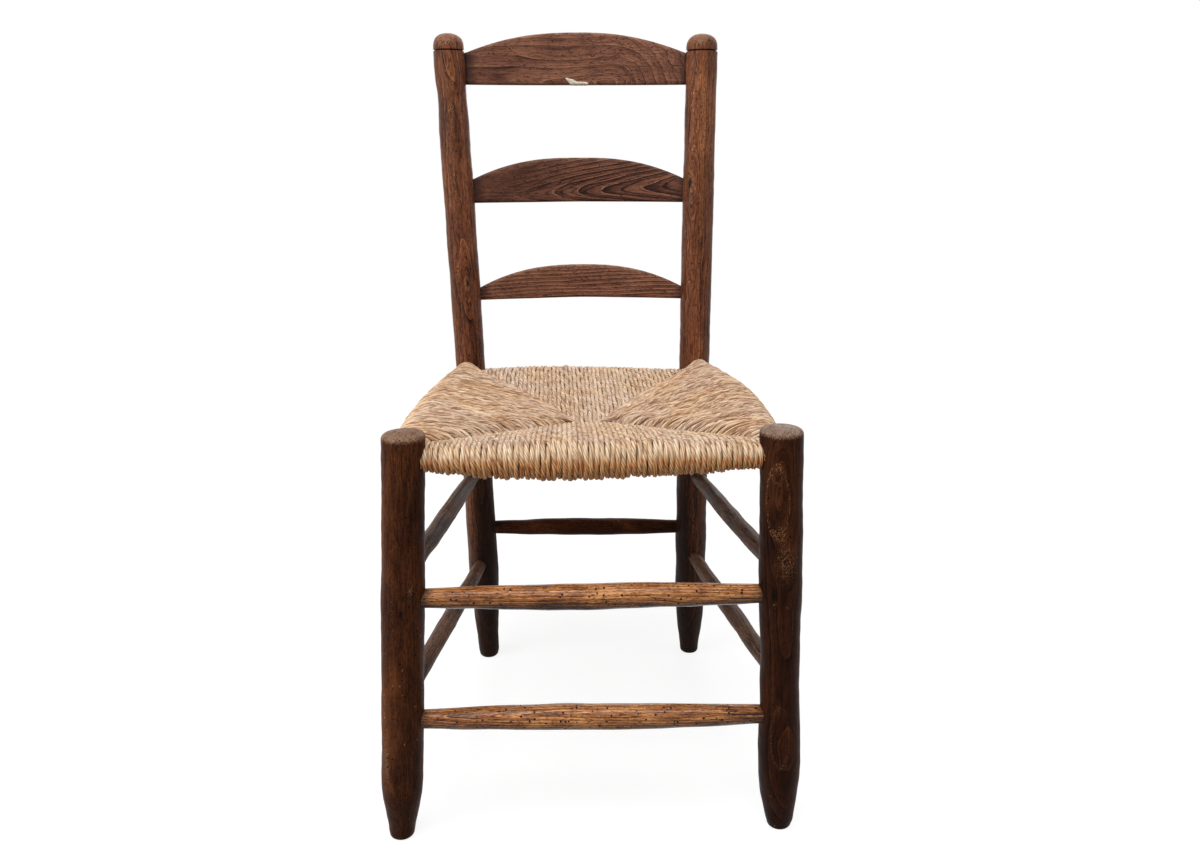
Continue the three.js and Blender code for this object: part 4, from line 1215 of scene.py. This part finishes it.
# One cord of the back roll stands proud of its neighbours, this far to the left of the middle.
PROUD_CORD = -23 * MM


def seam_manner(side, index, plan, random):
    """How a cord meets its seam. Front cords pass it level and dive steeply, side cords bend down and
    forwards at the front seams but lie over the cords of the back panel, and back cords dive early."""
    share = plan["share"][index]
    if side == 0:
        sag = np.interp(share, *FRONT_SAG) + random.uniform(-0.8, 1.7)
        return {"over_seam": 1.0 * MM, "dive": 9 * MM, "sag": sag * MM}
    if side == 2:
        lift = np.interp(share, *BACK_LIFT) + random.uniform(-0.4, 0.4)
        lift += 2.2 * math.exp(-((plan["rail"][index][0] - PROUD_CORD) / (3 * MM)) ** 2)
        return {"over_seam": 0.0, "dive": 9 * MM, "dip": 3 * MM, "dip_reach": 6 * MM, "lift": lift * MM}
    corner_cords = corners[side]["cords"]
    to_front = (index < corner_cords) == (side == 1)
    if to_front:
        short = min(1.0, np.linalg.norm(plan["rail"][index] - plan["seam"][index]) / (90 * MM))
        return {"over_seam": 0.0, "dive": 9 * MM, "dip": 4.5 * MM, "dip_reach": 12 * MM,
                "sweep": random.uniform(11, 15) * MM * short, "sag": random.uniform(0, 1) * MM}
    return {"over_seam": 3.5 * MM, "dive": 8 * MM, "dip": -1 * MM, "dip_reach": 20 * MM,
            "sag": random.uniform(0, 1) * MM}


def random_wave(random, at, shortest, longest):
    """sin(2 pi * distance / wavelength + phase), with the wavelength and the phase drawn at random."""
    wavelength = random.uniform(shortest, longest)
    return np.sin(math.tau * at / wavelength + random.uniform(0, math.tau))


def rush_panel(side):
    """All the cords of one panel. Each has its own sag, twist, width and waver, drawn from one seeded row."""
    plan, twist = plans[side], (ROPED, WAVY)[side % 2]
    random = np.random.default_rng(400 + side)
    seam_gap = np.abs(np.gradient(plan["seam"] @ np.abs(plan["along"])))
    skins = []
    for index in range(plan["count"]):
        line, turn = cord_route(plan, index, HALF_THICK, **seam_manner(side, index, plan, random))
        route, turn, at = even_steps(line, turn)
        waver = twist["waver"] * random_wave(random, at, 0.03, 0.06)
        lift = twist["lift"] * random_wave(random, at, 0.02, 0.05)
        route = route + plan["along"] * waver[:, None] + np.array([0, 0, 1.0]) * lift[:, None]
        near_seam = np.clip(at / at[-1] * 2.2, 0, 1) * np.clip((at[-1] - at) / at[-1] * 2.2, 0, 1)
        half_wide = twist["wide"] * (seam_gap[index] + (plan["rail_gap"] - seam_gap[index]) * near_seam)
        if abs(index - plan["count"] / 2 + 0.5) < MIDDLE_CORDS:
            half_wide = half_wide * (1 - 0.3 * np.exp(-((at - 9 * MM) / (5 * MM)) ** 2))
        skins.append(twisted_cord(route, turn, at, plan["along"], half_wide * random.uniform(0.96, 1.06),
                                  HALF_THICK, twist, random, index + 60 * side))
    return make_piece(PANEL_NAMES[side], skins, rush, "rush", "rush_seat")


for panel in range(4):
    rush_panel(panel)

# %% [markdown]
# ## Packing inside the seat
#
# Between the upper and the lower cords a rush seat is stuffed with broken leaves. It only shows as darkness
# between the cords, so it is a plain closed loaf in each panel, a little inside the cords. Its dark colour is
# painted shade.

# %% Pack the seat
PACKING_SUNK = 6.4 * MM


def packing_material():
    """Broken rush, dark as painted shade, with a coarse noise for its colour."""
    recipe = Recipe("rush_stuffing_painted_shade", 0.2)
    place = recipe.node("ShaderNodeTexCoord").outputs["Object"]
    coarse = recipe.noise(place, 260, detail=3, roughness=0.7)
    recipe.raised(coarse, 1.0 * MM)
    return recipe.done(recipe.ramp(coarse, (0.3, tone(46, 28, 16)), (0.7, tone(104, 74, 46))), 0.9)


def packing():
    """A loaf inside each panel: rings carried from one corner to the other, each from the seam over the rail
    and back, and sunk under the seat's surface."""
    skins = []
    for plan in plans:
        lines = [cord_route(plan, index, PACKING_SUNK, -1 * MM, 0.5 * MM, dip=2 * MM)[0]
                 for index in range(1, plan["count"] - 1)]
        loaf = np.array(lines)[:, ::2]
        skins.append({"place": loaf[:, ::-1]})
    return make_piece("rush_packing", skins, packing_material(), "rush")


packing()

# %% [markdown]
# ## Rails
#
# The four rails are hidden in the rush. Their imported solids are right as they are, so they only get a plain
# dark wood that needs no extra values on its points.

# %% Finish the rails
def rail_material():
    """Rough split wood: long level fibres and slow stains."""
    recipe = Recipe("rail_wood", 0.3)
    place = recipe.node("ShaderNodeTexCoord").outputs["Object"]
    fibre = recipe.noise(recipe.stretched(place, 60, 60, 900), detail=4, roughness=0.6)
    stain = recipe.noise(place, 30, detail=3)
    total = recipe.math("MULTIPLY_ADD", fibre, 0.6, recipe.times(stain, 0.4))
    recipe.raised(fibre, 0.3 * MM)
    return recipe.done(recipe.ramp(total, (0.3, tone(52, 32, 20)), (0.7, tone(104, 70, 46))), 0.7)


rail_wood = rail_material()
for node, *_ in RAILS:
    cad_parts[node].data.materials.clear()
    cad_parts[node].data.materials.append(rail_wood)
print("rails finished:", [node for node, *_ in RAILS])

# %% [markdown]
# ## Studio
#
# The chair stands on a pale floor in soft light: a large lamp at each side, the left one stronger, which
# leave the inner sides of the legs dark, one above for the seat, one behind for the back of the chair, and a
# dim even sky. What the camera sees of the floor is lifted to near white, and the chair's shadow stays in it.

# %% Floor
FLOOR_SIZE = 16.0
FLOOR_TONE = 0.18
SEEN_TONE = 0.26
SEEN_GLOW = 0.85
NEAR_CHAIR = 0.9
FAR_FROM_CHAIR = 2.6


def add_node(tree, kind, **values):
    """A new node of a tree, with some of its inputs set."""
    made = tree.nodes.new(kind)
    for key, value in values.items():
        made.inputs[key.replace("_", " ")].default_value = value
    return made


def seen_rays(tree):
    """1 for the rays that show a surface to the eye, straight, in a mirror or through glass, and else 0."""
    rays = add_node(tree, "ShaderNodeLightPath")
    chosen = rays.outputs["Is Camera Ray"]
    for kind in ("Is Glossy Ray", "Is Transmission Ray"):
        either = add_node(tree, "ShaderNodeMath")
        either.operation = "MAXIMUM"
        tree.links.new(chosen, either.inputs[0])
        tree.links.new(rays.outputs[kind], either.inputs[1])
        chosen = either.outputs[0]
    return chosen


def floor_material():
    """Pale floor. Rays that show it see a lifted floor that keeps the shadow near the chair and turns to
    even white further off. All other rays meet a plain diffuse floor."""
    material = bpy.data.materials.new("pale_floor")
    material.use_nodes = True
    tree = material.node_tree
    tree.nodes.clear()

    def mix(first, second, share):
        made = add_node(tree, "ShaderNodeMixShader")
        for socket, source in zip(made.inputs, (share, first.outputs[0], second.outputs[0])):
            tree.links.new(source, socket)
        return made

    plain = add_node(tree, "ShaderNodeBsdfDiffuse", Color=(FLOOR_TONE, FLOOR_TONE, FLOOR_TONE, 1))
    shown = add_node(tree, "ShaderNodeBsdfDiffuse", Color=(SEEN_TONE, SEEN_TONE, SEEN_TONE, 1))
    extra = add_node(tree, "ShaderNodeEmission", Strength=SEEN_GLOW)
    lifted = add_node(tree, "ShaderNodeAddShader")
    tree.links.new(shown.outputs[0], lifted.inputs[0])
    tree.links.new(extra.outputs[0], lifted.inputs[1])
    distance = add_node(tree, "ShaderNodeVectorMath")
    distance.operation = "LENGTH"
    tree.links.new(add_node(tree, "ShaderNodeTexCoord").outputs["Object"], distance.inputs[0])
    far = add_node(tree, "ShaderNodeMapRange", From_Min=NEAR_CHAIR, From_Max=FAR_FROM_CHAIR)
    tree.links.new(distance.outputs["Value"], far.inputs["Value"])
    white = add_node(tree, "ShaderNodeEmission", Strength=1.0)
    look = mix(lifted, white, far.outputs[0])
    output = add_node(tree, "ShaderNodeOutputMaterial")
    tree.links.new(mix(plain, look, seen_rays(tree)).outputs[0], output.inputs["Surface"])
    return material


half_floor = FLOOR_SIZE / 2
floor_mesh = bpy.data.meshes.new("floor")
floor_mesh.from_pydata([(-half_floor, -half_floor, 0), (half_floor, -half_floor, 0),
                        (half_floor, half_floor, 0), (-half_floor, half_floor, 0)], [], [(0, 1, 2, 3)])
floor_mesh.materials.append(floor_material())
floor = bpy.data.objects.new("floor", floor_mesh)
bpy.context.scene.collection.objects.link(floor)
print("floor:", FLOOR_SIZE, "m square")

# %% Lamps and sky
SKY_LIGHT = 0.13


def soft_lamp(name, place, aim, size, power):
    """A square area lamp at a place, turned so that it shines at a point of the chair."""
    data = bpy.data.lights.new(name, "AREA")
    data.shape = "SQUARE"
    data.size = size
    data.energy = power
    lamp = bpy.data.objects.new(name, data)
    lamp.location = place
    away = np.array(place) - np.array(aim)
    flat = math.hypot(away[0], away[1])
    lamp.rotation_euler = (math.atan2(flat, away[2]), 0, math.atan2(away[1], away[0]) + math.pi / 2)
    bpy.context.scene.collection.objects.link(lamp)
    return lamp


soft_lamp("lamp_left", (-2.2, -0.9, 1.25), (0, 0, 0.4), 1.5, 28)
soft_lamp("lamp_right", (2.3, -0.5, 1.2), (0, 0, 0.4), 1.5, 11)
soft_lamp("lamp_above", (-0.25, -0.9, 2.5), (0, 0, 0.45), 1.7, 50)
soft_lamp("lamp_behind", (0.5, 2.6, 1.5), (0, 0, 0.45), 1.7, 16)

world = bpy.data.worlds.new("studio_sky")
bpy.context.scene.world = world
world.use_nodes = True
sky = world.node_tree
sky.nodes.clear()
level = add_node(sky, "ShaderNodeMapRange", To_Min=SKY_LIGHT, To_Max=1.0)
sky.links.new(seen_rays(sky), level.inputs["Value"])
glow = add_node(sky, "ShaderNodeBackground", Color=(1, 1, 1, 1))
sky.links.new(level.outputs[0], glow.inputs["Strength"])
sky.links.new(glow.outputs[0], add_node(sky, "ShaderNodeOutputWorld").inputs["Surface"])
bpy.context.scene.view_settings.view_transform = "Standard"
